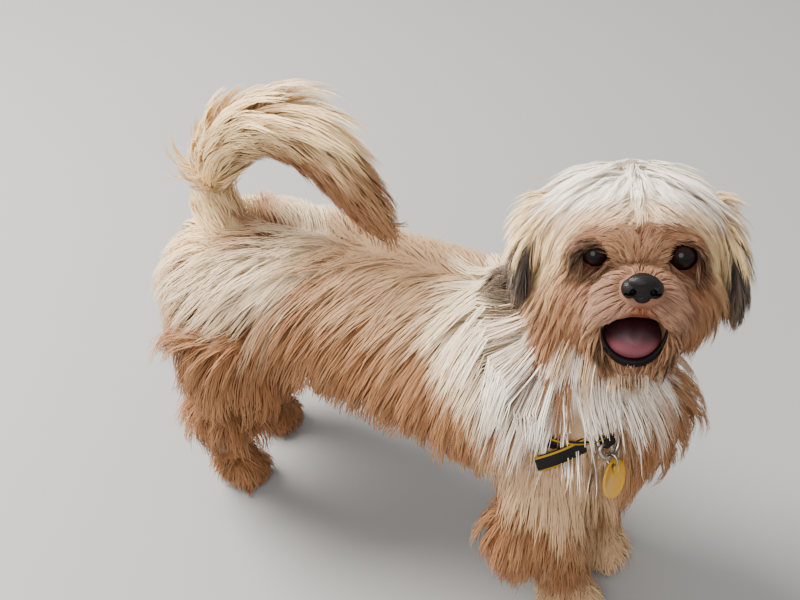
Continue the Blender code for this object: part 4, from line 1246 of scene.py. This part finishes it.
def mesh_of(name, points, faces):
    mesh = bpy.data.meshes.new(name)
    mesh.vertices.add(len(points))
    mesh.vertices.foreach_set("co", points.astype(np.float32).ravel())
    mesh.loops.add(len(faces) * 3)
    mesh.loops.foreach_set("vertex_index", faces.astype(np.int32).ravel())
    mesh.polygons.add(len(faces))
    mesh.polygons.foreach_set("loop_start", np.arange(0, len(faces) * 3, 3, dtype=np.int32))
    mesh.update(calc_edges=True)
    return mesh


def light_tufts(mesh, faces, normals, tangent):
    """Lights hair that stands off for its own shape, and hair that lies flat as the skin under it."""
    count = tangent.shape[1] - 1
    standing = np.clip((tangent * normals[:, None]).sum(axis=2), 0, 1)
    share = SKIN_FACING * (1 - standing) ** 2
    share = np.concatenate([np.repeat(share[:, :count], 3, axis=1), share[:, count:]], axis=1)
    facing = np.repeat(normals, 3 * count + 1, axis=0) * share.reshape(-1, 1)
    facing[:, 2] += SKY_FACING
    own = point_values(mesh, "normal")[faces]
    plane = np.empty(len(faces) * 3, np.float32)
    mesh.polygons.foreach_get("normal", plane)
    plane = plane.reshape(-1, 1, 3)
    lit = unit(facing[faces] + own)
    # The sides that look away from that light their own way, so that none of them turns black
    away = (lit * plane).sum(axis=2, keepdims=True) < TURNED_AWAY
    lit = np.where(away, unit(own + plane * 1.5), lit)
    mesh.normals_split_custom_set(lit.reshape(-1, 3).tolist())


def tuft_mesh(name, centres, normals, places, spread, tones, draws):
    """One mesh of closed three-sided tufts, each with its root, tone and patch of the map."""
    make = COAT_PIECES[name]
    profile = WIDTH_PROFILE[make.sections]
    tufts, per = len(centres), 3 * make.sections + 1
    tangent = tangents(centres)
    wide = make.width * draws.uniform(*WIDTH_RANGE, tufts)
    points = tuft_corners(centres, normals, tangent, wide, profile)
    faces = tuft_faces(tufts, make.sections)
    shares = np.repeat([share for share, _ in profile], 3).tolist() + [1.0]
    across = np.array([0, 1, 0.5] * make.sections + [0.5])
    patch = np.stack([across, np.array(shares)], axis=1) * PATCH - PATCH / 2
    maps = np.clip(spread[:, None, :] + patch[None], 0.0005, 0.9995).reshape(-1, 2)

    mesh = mesh_of(name, points, faces)
    layer = mesh.uv_layers.new(name="OFBake")
    layer.data.foreach_set("uv", maps[faces.ravel()].astype(np.float32).ravel())
    roots = mesh.attributes.new("root", "FLOAT_VECTOR", "POINT")
    roots.data.foreach_set("vector", np.repeat(places, per, axis=0).astype(np.float32).ravel())
    store_values(mesh, "along", np.tile(np.array(shares, np.float32), tufts))
    store_values(mesh, "tone", np.repeat(tones.astype(np.float32), per))
    store_values(mesh, "head", np.full(len(points), float(name in HEAD_PIECES), np.float32))
    light_tufts(mesh, faces, normals, tangent)
    return mesh


def near_pairs(locks, places):
    """The lock nearest to each place."""
    tree = KDTree(len(locks))
    for index, lock in enumerate(locks.tolist()):
        tree.insert(lock, index)
    tree.balance()
    return np.array([tree.find(place)[1] for place in places.tolist()])


def coat_piece(name, skin, lie, names, props, draws):
    """One piece of the coat: tufts in locks, on the part of the skin that bears its name."""
    make = COAT_PIECES[name]
    faces = np.flatnonzero((names == name) & away_from_face(skin.middles))
    weights = skin.areas[faces]
    total = int(make.tufts * props.fullness)
    places, normals, spread = skin.draw(faces, weights, total, draws)
    roots, facing, _ = skin.draw(faces, weights, total // ROOTS_PER_LOCK, draws)
    paths = comb(skin, lie, roots, facing, name, draws)
    paths = paths[:, :1] + (paths - paths[:, :1]) * props.length
    homes = near_pairs(roots, places)
    centres, keep = Tufts(skin, paths, places, normals, homes, make, draws).kept_clear()
    tones = draws.random(len(roots))[homes] * 0.6 + draws.random(len(places)) * 0.4
    kept = (values[keep] for values in (centres, normals, places, spread, tones))
    return new_object(name, tuft_mesh(name, *kept, draws))


# Face


def eye_pieces():
    return [
        ball("eye_left" if side > 0 else "eye_right", at, (EYE_RADIUS,) * 3, HEAD_TURN, (64, 40))
        for side, at in both_sides(*EYE_AT)]


def nose_piece():
    """The leather of the nose: wings round two nostrils, parted by a groove."""
    parts = [ball("lobe", on_head(*at), radii, HEAD_TURN) for at, radii in NOSE_LOBES]
    parts += [ball("wing", at, NOSE_WING[1], HEAD_TURN) for _, at in both_sides(*NOSE_WING[0])]
    nose = melt("nose_leather", parts, NOSE_CELL, 4)
    hollows = [
        ball("nostril", at, radii, HEAD_TURN)
        for middle, radii in NOSTRIL for _, at in both_sides(*middle)]
    hollows.append(ball("groove", on_head(*NOSE_GROOVE[0]), NOSE_GROOVE[1], HEAD_TURN))
    combine(nose, hollows, "DIFFERENCE")
    return nose


def tongue_piece():
    """A tongue that fills the lower part of the mouth, with a trough down its middle."""
    tongue = ball("tongue_flesh", on_head(*TONGUE_AT), TONGUE_RADII, HEAD_TURN, (64, 40))
    for vertex in tongue.data.vertices:
        local = HEAD_TURN.transposed() @ (vertex.co - HEAD_AT)
        middle = math.exp(-((local.y - TONGUE_AT[1]) / TROUGH_WIDTH) ** 2)
        if local.z > TONGUE_AT[2]:
            vertex.co -= HEAD_UP * middle * TROUGH_DEPTH
    return tongue


def lip_piece():
    """The dark rim round the mouth, thickest along the lower lip."""
    rings = []
    for turn in turns(72):
        low = max(0, -math.sin(turn))
        radius = RIM_RADIUS + RIM_FULLNESS * low
        left = MOUTH_AT[1] + (MOUTH_RADII[1] * RIM_SHARE) * math.cos(turn)
        roof = MOUTH_ROOF if math.sin(turn) > 0 else 1
        up = MOUTH_AT[2] + (MOUTH_RADII[2] * RIM_SHARE * roof) * math.sin(turn)
        forward = MOUTH_AT[0] + RIM_FORWARD - RIM_DIP[0] * abs(math.cos(turn)) ** 2 - RIM_DIP[1] * low
        centre = on_head(forward, left, up)
        outward = (HEAD_TURN @ Vector((0, math.cos(turn), math.sin(turn)))).normalized()
        rings.append([
            centre + (outward * math.cos(angle) + FORWARD * math.sin(angle)) * radius
            for angle in turns(12)])
    return loft("lips", rings, closed=True)


# Collar


def collar_axes():
    """The collar's plane: one axis to the ring at the front, one across to the dog's left."""
    front = COLLAR_FRONT - COLLAR_AXIS * COLLAR_FRONT.dot(COLLAR_AXIS)
    front.normalize()
    return front, COLLAR_AXIS.cross(front)


def hardware_frame():
    """Where the ring hangs: its seat on the strap, along the strap, outwards and down the chest."""
    front, across = collar_axes()
    seat = COLLAR_AT + front * (COLLAR_REACH[0] + COLLAR_THICKNESS / 2)
    hang = (CHEST_SLOPE - across * CHEST_SLOPE.dot(across)).normalized()
    return seat, across, hang.cross(across), hang


def turned(vector, axis, angle):
    return Matrix.Rotation(angle, 3, axis) @ vector


def strap_section(middle, over, out, width, thickness):
    """A strap's section with rounded edges."""
    points = []
    for turn in turns(16):
        flat_x = math.copysign(abs(math.cos(turn)) ** 0.35, math.cos(turn))
        flat_y = math.copysign(abs(math.sin(turn)) ** 0.6, math.sin(turn))
        points.append(middle + over * flat_x * width / 2 + out * flat_y * thickness / 2)
    return points


def collar_piece():
    """The strap round the neck and its loose end over the right shoulder."""
    front, across = collar_axes()
    rings = []
    for turn in turns(160):
        out = front * math.cos(turn) + across * math.sin(turn)
        middle = (COLLAR_AT + front * COLLAR_REACH[0] * math.cos(turn)
                  + across * COLLAR_REACH[1] * math.sin(turn))
        rings.append(strap_section(middle, COLLAR_AXIS, out, COLLAR_WIDTH, COLLAR_THICKNESS))
    strap = loft("collar_strap", rings, closed=True)
    store_strap(strap, lambda place: (place - COLLAR_AT).dot(COLLAR_AXIS) / (COLLAR_WIDTH / 2))
    return strap


def store_strap(piece, measure):
    """Keeps each point's place across the strap, from -1 to 1, for the webbing's edges."""
    values = [measure(vertex.co) for vertex in piece.data.vertices]
    store_values(piece.data, "across", values)


def free_end_piece():
    start, end = FREE_END
    along = (end - start).normalized()
    over = FREE_END_OUT.cross(along).normalized()
    rings = []
    for k in range(25):
        share = k / 24
        lift = 1.6 * math.sin(share * math.pi) - 1.2 * (1 - share)
        narrow = 1 if k < 23 else 0.86
        middle = start.lerp(end, share) + FREE_END_OUT * lift
        width = FREE_END_WIDTH * narrow
        rings.append(strap_section(middle, over, FREE_END_OUT, width, COLLAR_THICKNESS))
    piece = loft("strap_end", rings)
    store_strap(piece, lambda place: (place - start).dot(over) / (FREE_END_WIDTH / 2))
    return piece


def keeper_piece():
    """The stitched fold of webbing that holds the ring."""
    seat, along, out, _ = hardware_frame()
    hang = along.cross(out)
    rings = []
    for k in range(13):
        share = k / 12 * 2 - 1
        swell = 1 - 0.12 * abs(share) ** 6
        middle = seat + out * (KEEPER[0] / 2 - 0.8) + along * share * KEEPER[1] / 2
        rings.append(strap_section(middle, hang, out, KEEPER[2] * swell, KEEPER[0] * swell))
    piece = loft("ring_keeper", rings)
    store_strap(piece, lambda place: 0.0)
    return piece


def wire(name, points, radius, facing, sides=14):
    """A closed wire through points that lie in the plane facing one way."""
    rings = []
    for i, point in enumerate(points):
        along = (points[(i + 1) % len(points)] - points[i - 1]).normalized()
        side = along.cross(facing)
        rings.append([
            point + (side * math.cos(turn) + facing * math.sin(turn)) * radius
            for turn in turns(sides)])
    return loft(name, rings, closed=True)


def ring_outline():
    seat, along, out, hang = hardware_frame()
    bar = seat + out * KEEPER[0] / 2
    corner = RING_WIDTH / 2 - 2
    outline = [bar + along * corner * (k / 4 - 1) for k in range(9)]
    for k in range(1, 32):
        sweep = math.pi * k / 32
        outline.append(bar + along * math.cos(sweep) * RING_WIDTH / 2
                       + hang * (1 + math.sin(sweep) * (RING_DROP - 1)))
    return outline, bar, out, hang


def tag_frame():
    """The tag's hole, its middle and the way that its face looks."""
    _, bar, out, hang = ring_outline()
    link_middle = bar + hang * (RING_DROP + LINK_RADIUS - LINK_WIRE - RING_WIRE - 0.3)
    hole_at = link_middle + hang * LINK_RADIUS
    middle = hole_at + hang * (TAG_RADIUS - TAG_HOLE - TAG_RIM)
    return link_middle, hole_at, middle, turned(out, hang, TAG_TURN)


def collar_clearings():
    """Lines of the loose end, the ring and the tag, the way they are seen and half their widths."""
    _, bar, _, _ = ring_outline()
    link_middle, hole_at, middle, _ = tag_frame()
    start, end = FREE_END
    lines = (
        (start.lerp(end, 0.18), end, FREE_END_WIDTH / 2 + 1.5),
        (bar.lerp(link_middle, 0.4), link_middle, RING_WIDTH / 2 - 2),
        (hole_at, middle + (middle - hole_at) * 0.4, TAG_RADIUS + 1))
    return [(start, end, (CAMERA_AT - end).normalized(), reach) for start, end, reach in lines]


def ring_piece():
    outline, _, out, _ = ring_outline()
    return wire("ring", outline, RING_WIRE, out)


def link_piece():
    _, _, out, hang = ring_outline()
    middle = tag_frame()[0]
    link_out = turned(out, hang, TAG_TURN / 2)
    points = [
        middle + (link_out * math.cos(angle) + hang * math.sin(angle)) * LINK_RADIUS
        for angle in turns(48)]
    return wire("link", points, LINK_WIRE, link_out.cross(hang))


def tag_piece():
    """A blank round tag with a raised rim and a hole for its link."""
    _, hole_at, middle, face = tag_frame()
    _, _, _, hang = ring_outline()
    side = face.cross(hang)
    half = TAG_THICKNESS / 2
    profile = (
        (0.0, 0.62), (0.84, 0.62), (0.87, 0.95), (0.93, 1.0), (0.98, 0.75), (1.0, 0.3),
        (1.0, -0.3), (0.98, -0.75), (0.93, -1.0), (0.87, -0.95), (0.84, -0.62), (0.0, -0.62))
    form = bmesh.new()
    rows = []
    for reach, height in profile:
        if reach == 0:
            rows.append([form.verts.new(middle + face * height * half)])
            continue
        rows.append([
            form.verts.new(
                middle + (hang * math.cos(turn) + side * math.sin(turn)) * TAG_RADIUS * reach
                + face * height * half)
            for turn in turns(TAG_SIDES)])
    for row, after in zip(rows, rows[1:]):
        for i in range(TAG_SIDES):
            j = (i + 1) % TAG_SIDES
            if len(row) == 1:
                form.faces.new((row[0], after[i], after[j]))
            elif len(after) == 1:
                form.faces.new((row[i], row[j], after[0]))
            else:
                form.faces.new((row[i], row[j], after[j], after[i]))
    tag = from_bmesh("tag_plate", form)
    turn = face.to_track_quat("Z", "Y").to_matrix()
    combine(tag, [ball("hole", hole_at, (TAG_HOLE, TAG_HOLE, 6), turn)], "DIFFERENCE")
    return tag


# Materials of the small pieces


def eye_material(props):
    recipe = Recipe("wet_eye", Roughness=0.04, Specular_IOR_Level=0.15)
    place = recipe.attribute("root")
    reach = None
    for _, at in both_sides(EYE_AT[0] + EYE_RADIUS, *EYE_AT[1:]):
        away = recipe.vector("DISTANCE", place, tuple(at))
        reach = away if reach is None else reach.sum("MINIMUM", reach, away)
    iris = recipe.ramp(reach, *PUPIL_EDGE) * (1 - recipe.ramp(reach, *IRIS_EDGE))
    white = recipe.ramp(reach, *WHITE_EDGE)
    streaks = recipe.noise(place, 1.4, 3)
    colour = recipe.mix(opaque(props.eye_pupil), rgb(34, 17, 11), iris * (0.5 + 0.6 * streaks))
    recipe.feed("Base Color", recipe.mix(colour, rgb(120, 88, 76), white * 0.6))
    return recipe.material


def nose_material(props):
    recipe = Recipe("nose_leather", Specular_IOR_Level=0.25)
    place = recipe.attribute("root")
    cells = recipe.node("ShaderNodeTexVoronoi", {"feature": "F1"}, {"Vector": place, "Scale": 1.25})
    mottle = recipe.noise(place, 0.35, 3)
    recipe.feed("Base Color", recipe.mix(opaque(props.nose_colour), rgb(32, 28, 28), mottle * 0.5))
    recipe.feed("Roughness", 0.3 + 0.2 * mottle)
    recipe.bump(cells, 0.5, 0.0004)
    return recipe.material


def tongue_material(props):
    recipe = Recipe("tongue_flesh", Specular_IOR_Level=0.3, Coat_Weight=0.1, Coat_Roughness=0.3)
    place = recipe.attribute("root")
    away = recipe.vector("SUBTRACT", place, tuple(on_head(*TONGUE_AT)))
    up = recipe.vector("DOT_PRODUCT", away, tuple(HEAD_UP))
    papillae = recipe.noise(place, 1.6, 3, 0.7)
    # The tongue's top, under the roof of the mouth, takes a dark colour that is partly painted shade;
    # its lower edge keeps the tongue's pink
    colour = recipe.mix(opaque(props.tongue_shaded_top), rgb(124, 68, 76), 1 - recipe.ramp(up, -5, 4))
    recipe.feed("Base Color", recipe.mix(colour, rgb(60, 28, 36), papillae * 0.35))
    recipe.feed("Roughness", 0.35 + 0.25 * papillae)
    recipe.bump(papillae, 0.35, 0.0006)
    return recipe.material


def lip_material():
    recipe = Recipe("lips", Specular_IOR_Level=0.12)
    place = recipe.attribute("root")
    creases = recipe.noise(place, 0.8, 3, 0.6)
    recipe.feed("Base Color", recipe.mix(rgb(9, 5, 6), rgb(26, 13, 17), creases))
    recipe.feed("Roughness", 0.35 + 0.2 * creases)
    recipe.bump(creases, 0.4, 0.0006)
    return recipe.material


def webbing_material(props):
    """Woven strap: ribs across it, with a coloured band along each edge."""
    recipe = Recipe("webbing", Specular_IOR_Level=0.3)
    place = recipe.attribute("root")
    across = abs(recipe.attribute("across", 2))
    weave = recipe.node(
        "ShaderNodeTexWave", {"wave_type": "BANDS", "bands_direction": "DIAGONAL"},
        {"Vector": place, "Scale": 0.9, "Distortion": 0.6, "Detail": 1.0}, 1)
    edge = recipe.ramp(across, 0.7, 0.76) * (1 - recipe.ramp(across, 0.92, 0.98))
    colour = recipe.mix(opaque(props.strap_colour), opaque(props.tag_colour), edge * 0.9)
    recipe.feed("Base Color", recipe.mix(colour, rgb(10, 10, 10), weave * 0.4))
    recipe.feed("Roughness", 0.6 + 0.25 * weave)
    recipe.bump(weave, 0.6, 0.0004)
    return recipe.material


def metal_material():
    recipe = Recipe("ring_metal", Metallic=1.0)
    place = recipe.attribute("root")
    wear = recipe.noise(place, 0.5, 4, 0.6)
    recipe.feed("Base Color", recipe.mix(rgb(212, 208, 200), rgb(150, 144, 134), wear))
    recipe.feed("Roughness", 0.16 + 0.22 * wear)
    return recipe.material


def tag_material(props):
    recipe = Recipe("tag_enamel", Coat_Weight=0.4, Coat_Roughness=0.15)
    place = recipe.attribute("root")
    wear = recipe.noise(place, 0.3, 4, 0.6)
    scratch = recipe.noise(place, 2.2, 2, 0.8)
    recipe.feed("Base Color", recipe.mix(opaque(props.tag_colour), rgb(170, 112, 12), wear * 0.7))
    recipe.feed("Roughness", 0.25 + 0.25 * scratch)
    recipe.bump(scratch, 0.15, 0.0002)
    return recipe.material


# Stage


# Lights, in metres: place, what they are aimed at and colour
KEY_LIGHT = ((-1.3, -0.1, 1.6), (0, 0, 0.15), (1.0, 0.96, 0.9))
FILL_LIGHT = ((0.3, -1.6, 1.4), (0.05, 0, 0.2), (1.0, 0.98, 0.95))
FILL_SHARE = 0.16
LIGHT_WIDTH = 1.2
DAYLIGHT = (1.0, 0.985, 0.965, 1)
FLOOR_GRAIN = (0.24, 0.235, 0.23, 1)
FLOOR_HALF_WIDTH = 6
FLOOR_DROP = 0.0004


def floor_piece(props):
    """A plain pale floor, just under the paws."""
    form = bmesh.new()
    bmesh.ops.create_grid(form, x_segments=8, y_segments=8, size=FLOOR_HALF_WIDTH)
    floor = from_bmesh("floor", form)
    floor.location.z = -FLOOR_DROP
    recipe = Recipe("floor", Roughness=0.75)
    place = recipe.node("ShaderNodeNewGeometry", {}, {}, 0)
    grain = recipe.noise(place, 4, 3)
    recipe.feed("Base Color", recipe.mix(opaque(props.floor_colour), FLOOR_GRAIN, grain * 0.2))
    floor.data.materials.append(recipe.material)
    return floor


def area_light(name, power, at, aim, colour):
    light = bpy.data.lights.new(name, "AREA")
    light.shape = "DISK"
    light.size = LIGHT_WIDTH
    light.energy = power
    light.color = colour
    lamp = bpy.data.objects.new(name, light)
    lamp.location = at
    lamp.rotation_euler = (Vector(aim) - Vector(at)).to_track_quat("-Z", "Y").to_euler()
    bpy.context.scene.collection.objects.link(lamp)
    return lamp


def world_light(strength):
    world = bpy.data.worlds.new("studio")
    bpy.context.scene.world = world
    world.use_nodes = True
    background = world.node_tree.nodes["Background"]
    background.inputs["Color"].default_value = DAYLIGHT
    background.inputs["Strength"].default_value = strength


def photo_camera():
    camera = bpy.data.cameras.new("camera")
    camera.lens = CAMERA_LENS
    camera.sensor_width = CAMERA_SENSOR
    camera.sensor_fit = "HORIZONTAL"
    view = bpy.data.objects.new("camera", camera)
    back = (CAMERA_AT - CAMERA_TO).normalized()
    level = back.to_track_quat("Z", "Y").to_matrix()
    view.matrix_world = Matrix.Translation((CAMERA_AT + SHIFT) * MM) @ (
        level @ Matrix.Rotation(CAMERA_ROLL, 3, "Z")).to_4x4()
    camera.clip_start = 0.05
    bpy.context.scene.collection.objects.link(view)
    bpy.context.scene.camera = view


# Add-on


def colour_property(name, description, value):
    return FloatVectorProperty(
        name=name, description=description, subtype="COLOR", size=3, min=0, max=1, default=value[:3])


class ShihTzuCoat(bpy.types.PropertyGroup):
    """The coat's make."""

    fullness: FloatProperty(
        name="Fullness", description="Share of the full number of tufts", default=1.0,
        min=0.01, max=1.0, subtype="FACTOR")
    length: FloatProperty(
        name="Hair length", description="Length of the locks against the model's", default=1.0,
        min=0.5, max=1.5, subtype="FACTOR")
    seed: IntProperty(
        name="Seed", description="Seed that the tufts are drawn from", default=SEED, min=0)


class ShihTzuFace(bpy.types.PropertyGroup):
    """Colours of the eyes, the nose and the tongue."""

    eye_pupil: colour_property("Eye", "Colour of the pupil", (0.006, 0.005, 0.005))
    nose_colour: colour_property("Nose", "Colour of the nose's leather", (0.003, 0.0027, 0.003))
    # The tongue's top colour is darkened partly as painted shade of the mouth
    tongue_shaded_top: colour_property("Tongue", "Colour of the tongue's top", rgb(44, 18, 25))


class ShihTzuCollar(bpy.types.PropertyGroup):
    """Colours of the collar and its tag."""

    strap_colour: colour_property("Strap", "Colour of the webbing", rgb(28, 30, 32))
    tag_colour: colour_property(
        "Tag", "Colour of the tag and of the webbing's edges", rgb(216, 164, 18))


class ShihTzuStage(bpy.types.PropertyGroup):
    """The floor and the light."""

    floor_colour: colour_property("Floor", "Colour of the floor", (0.29, 0.285, 0.28))
    daylight: FloatProperty(
        name="Daylight", description="Strength of the even light all round", default=0.9, min=0, max=3)
    key_power: FloatProperty(
        name="Key light", description="Power of the large light beside the dog", default=145, min=0,
        unit="POWER")


class SHIHTZU_OT_skin(bpy.types.Operator):
    """Builds the skin that the coat stands on, in the place of the solids of flesh"""

    bl_idname = "shihtzu.skin"
    bl_label = "Build skin"

    def execute(self, context):
        skin = body_skin()
        combine(skin, [head_skin()], "UNION")
        skin.name = "skin"
        if not skin.data.polygons:
            raise RuntimeError("the skin came out empty")
        unwrap(skin, 0.002)
        places, normals = point_values(skin.data, "co"), point_values(skin.data, "normal")
        names = lie_of_coat().names_at(places, normals)
        store_values(skin.data, "head", np.isin(names, HEAD_PIECES).astype(np.float32))
        finish_piece(skin, coat_material("skin_coat", 0.75, False))
        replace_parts(skin, *FLESH)
        return {"FINISHED"}


class SHIHTZU_OT_coat(bpy.types.Operator):
    """Lays the coat's tufts over the skin"""

    bl_idname = "shihtzu.coat"
    bl_label = "Lay coat"

    def execute(self, context):
        props = context.scene.shihtzu_coat
        body = bpy.data.objects.get("skin")
        if body is None:
            raise RuntimeError("the coat needs the skin first")
        surface = Skin(body)
        lie = lie_of_coat()
        names = lie.names_at(surface.middles, surface.facing)
        hair = coat_material("coat_hair", 0.6, True)
        draws = np.random.default_rng(props.seed)
        for name in COAT_PIECES:
            piece = coat_piece(name, surface, lie, names, props, draws)
            if not piece.data.polygons:
                raise RuntimeError(f"{name} has no tufts")
            finish_piece(piece, hair)
        return {"FINISHED"}


class SHIHTZU_OT_face(bpy.types.Operator):
    """Builds the eyes, the nose, the lips and the tongue"""

    bl_idname = "shihtzu.face"
    bl_label = "Build face"

    def execute(self, context):
        props = context.scene.shihtzu_face
        wet = eye_material(props)
        for node, eye in zip(("eye_right", "eye_left"), eye_pieces()):
            finish_piece(eye, wet)
            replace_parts(eye, node)
        nose = finish_piece(nose_piece(), nose_material(props))
        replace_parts(nose, "nose")
        tongue = finish_piece(tongue_piece(), tongue_material(props))
        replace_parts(tongue, "tongue")
        finish_piece(lip_piece(), lip_material())
        return {"FINISHED"}


class SHIHTZU_OT_collar(bpy.types.Operator):
    """Builds the collar, its loose end, the ring, the link and the blank tag"""

    bl_idname = "shihtzu.collar"
    bl_label = "Build collar"

    def execute(self, context):
        props = context.scene.shihtzu_collar
        webbing = webbing_material(props)
        strap = finish_piece(collar_piece(), webbing)
        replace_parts(strap, "collar")
        finish_piece(free_end_piece(), webbing)
        finish_piece(keeper_piece(), webbing)
        metal = metal_material()
        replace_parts(finish_piece(ring_piece(), metal), "collar_ring")
        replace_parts(finish_piece(link_piece(), metal), "tag_link")
        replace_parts(finish_piece(tag_piece(), tag_material(props)), "tag")
        return {"FINISHED"}


class SHIHTZU_OT_stage(bpy.types.Operator):
    """Sets the floor, the lights and the photograph's camera"""

    bl_idname = "shihtzu.stage"
    bl_label = "Set stage"

    def execute(self, context):
        props = context.scene.shihtzu_stage
        floor_piece(props)
        world_light(props.daylight)
        power = props.key_power
        area_light("key", power, *KEY_LIGHT)
        area_light("fill", power * FILL_SHARE, *FILL_LIGHT)
        photo_camera()
        return {"FINISHED"}


class SHIHTZU_PT_panel(bpy.types.Panel):
    """Lists the figure's settings and the steps that build it"""

    bl_idname = "SHIHTZU_PT_panel"
    bl_label = "Shih Tzu Figure"
    bl_space_type = "VIEW_3D"
    bl_region_type = "UI"
    bl_category = "Shih Tzu"

    def draw(self, context):
        layout = self.layout
        for group, steps in GROUPS.items():
            box = layout.box()
            settings = getattr(context.scene, group, None)
            if settings is not None:
                for key in settings.__annotations__:
                    box.prop(settings, key)
            for step in steps:
                box.operator(step.bl_idname)


GROUPS = {
    "shihtzu_coat": (SHIHTZU_OT_skin, SHIHTZU_OT_coat),
    "shihtzu_face": (SHIHTZU_OT_face,),
    "shihtzu_collar": (SHIHTZU_OT_collar,),
    "shihtzu_stage": (SHIHTZU_OT_stage,),
}
SETTINGS = {
    "shihtzu_coat": ShihTzuCoat, "shihtzu_face": ShihTzuFace, "shihtzu_collar": ShihTzuCollar,
    "shihtzu_stage": ShihTzuStage}
OPERATORS = tuple(step for steps in GROUPS.values() for step in steps)
CLASSES = (*SETTINGS.values(), *OPERATORS, SHIHTZU_PT_panel)


def register():
    for made in CLASSES:
        bpy.utils.register_class(made)
    for name, settings in SETTINGS.items():
        setattr(bpy.types.Scene, name, PointerProperty(type=settings))


def unregister():
    for name in SETTINGS:
        delattr(bpy.types.Scene, name)
    for made in reversed(CLASSES):
        bpy.utils.unregister_class(made)


def main():
    register()
    bpy.ops.shihtzu.skin()
    bpy.ops.shihtzu.coat()
    bpy.ops.shihtzu.face()
    bpy.ops.shihtzu.collar()
    bpy.ops.shihtzu.stage()


if __name__ == "__main__":
    main()
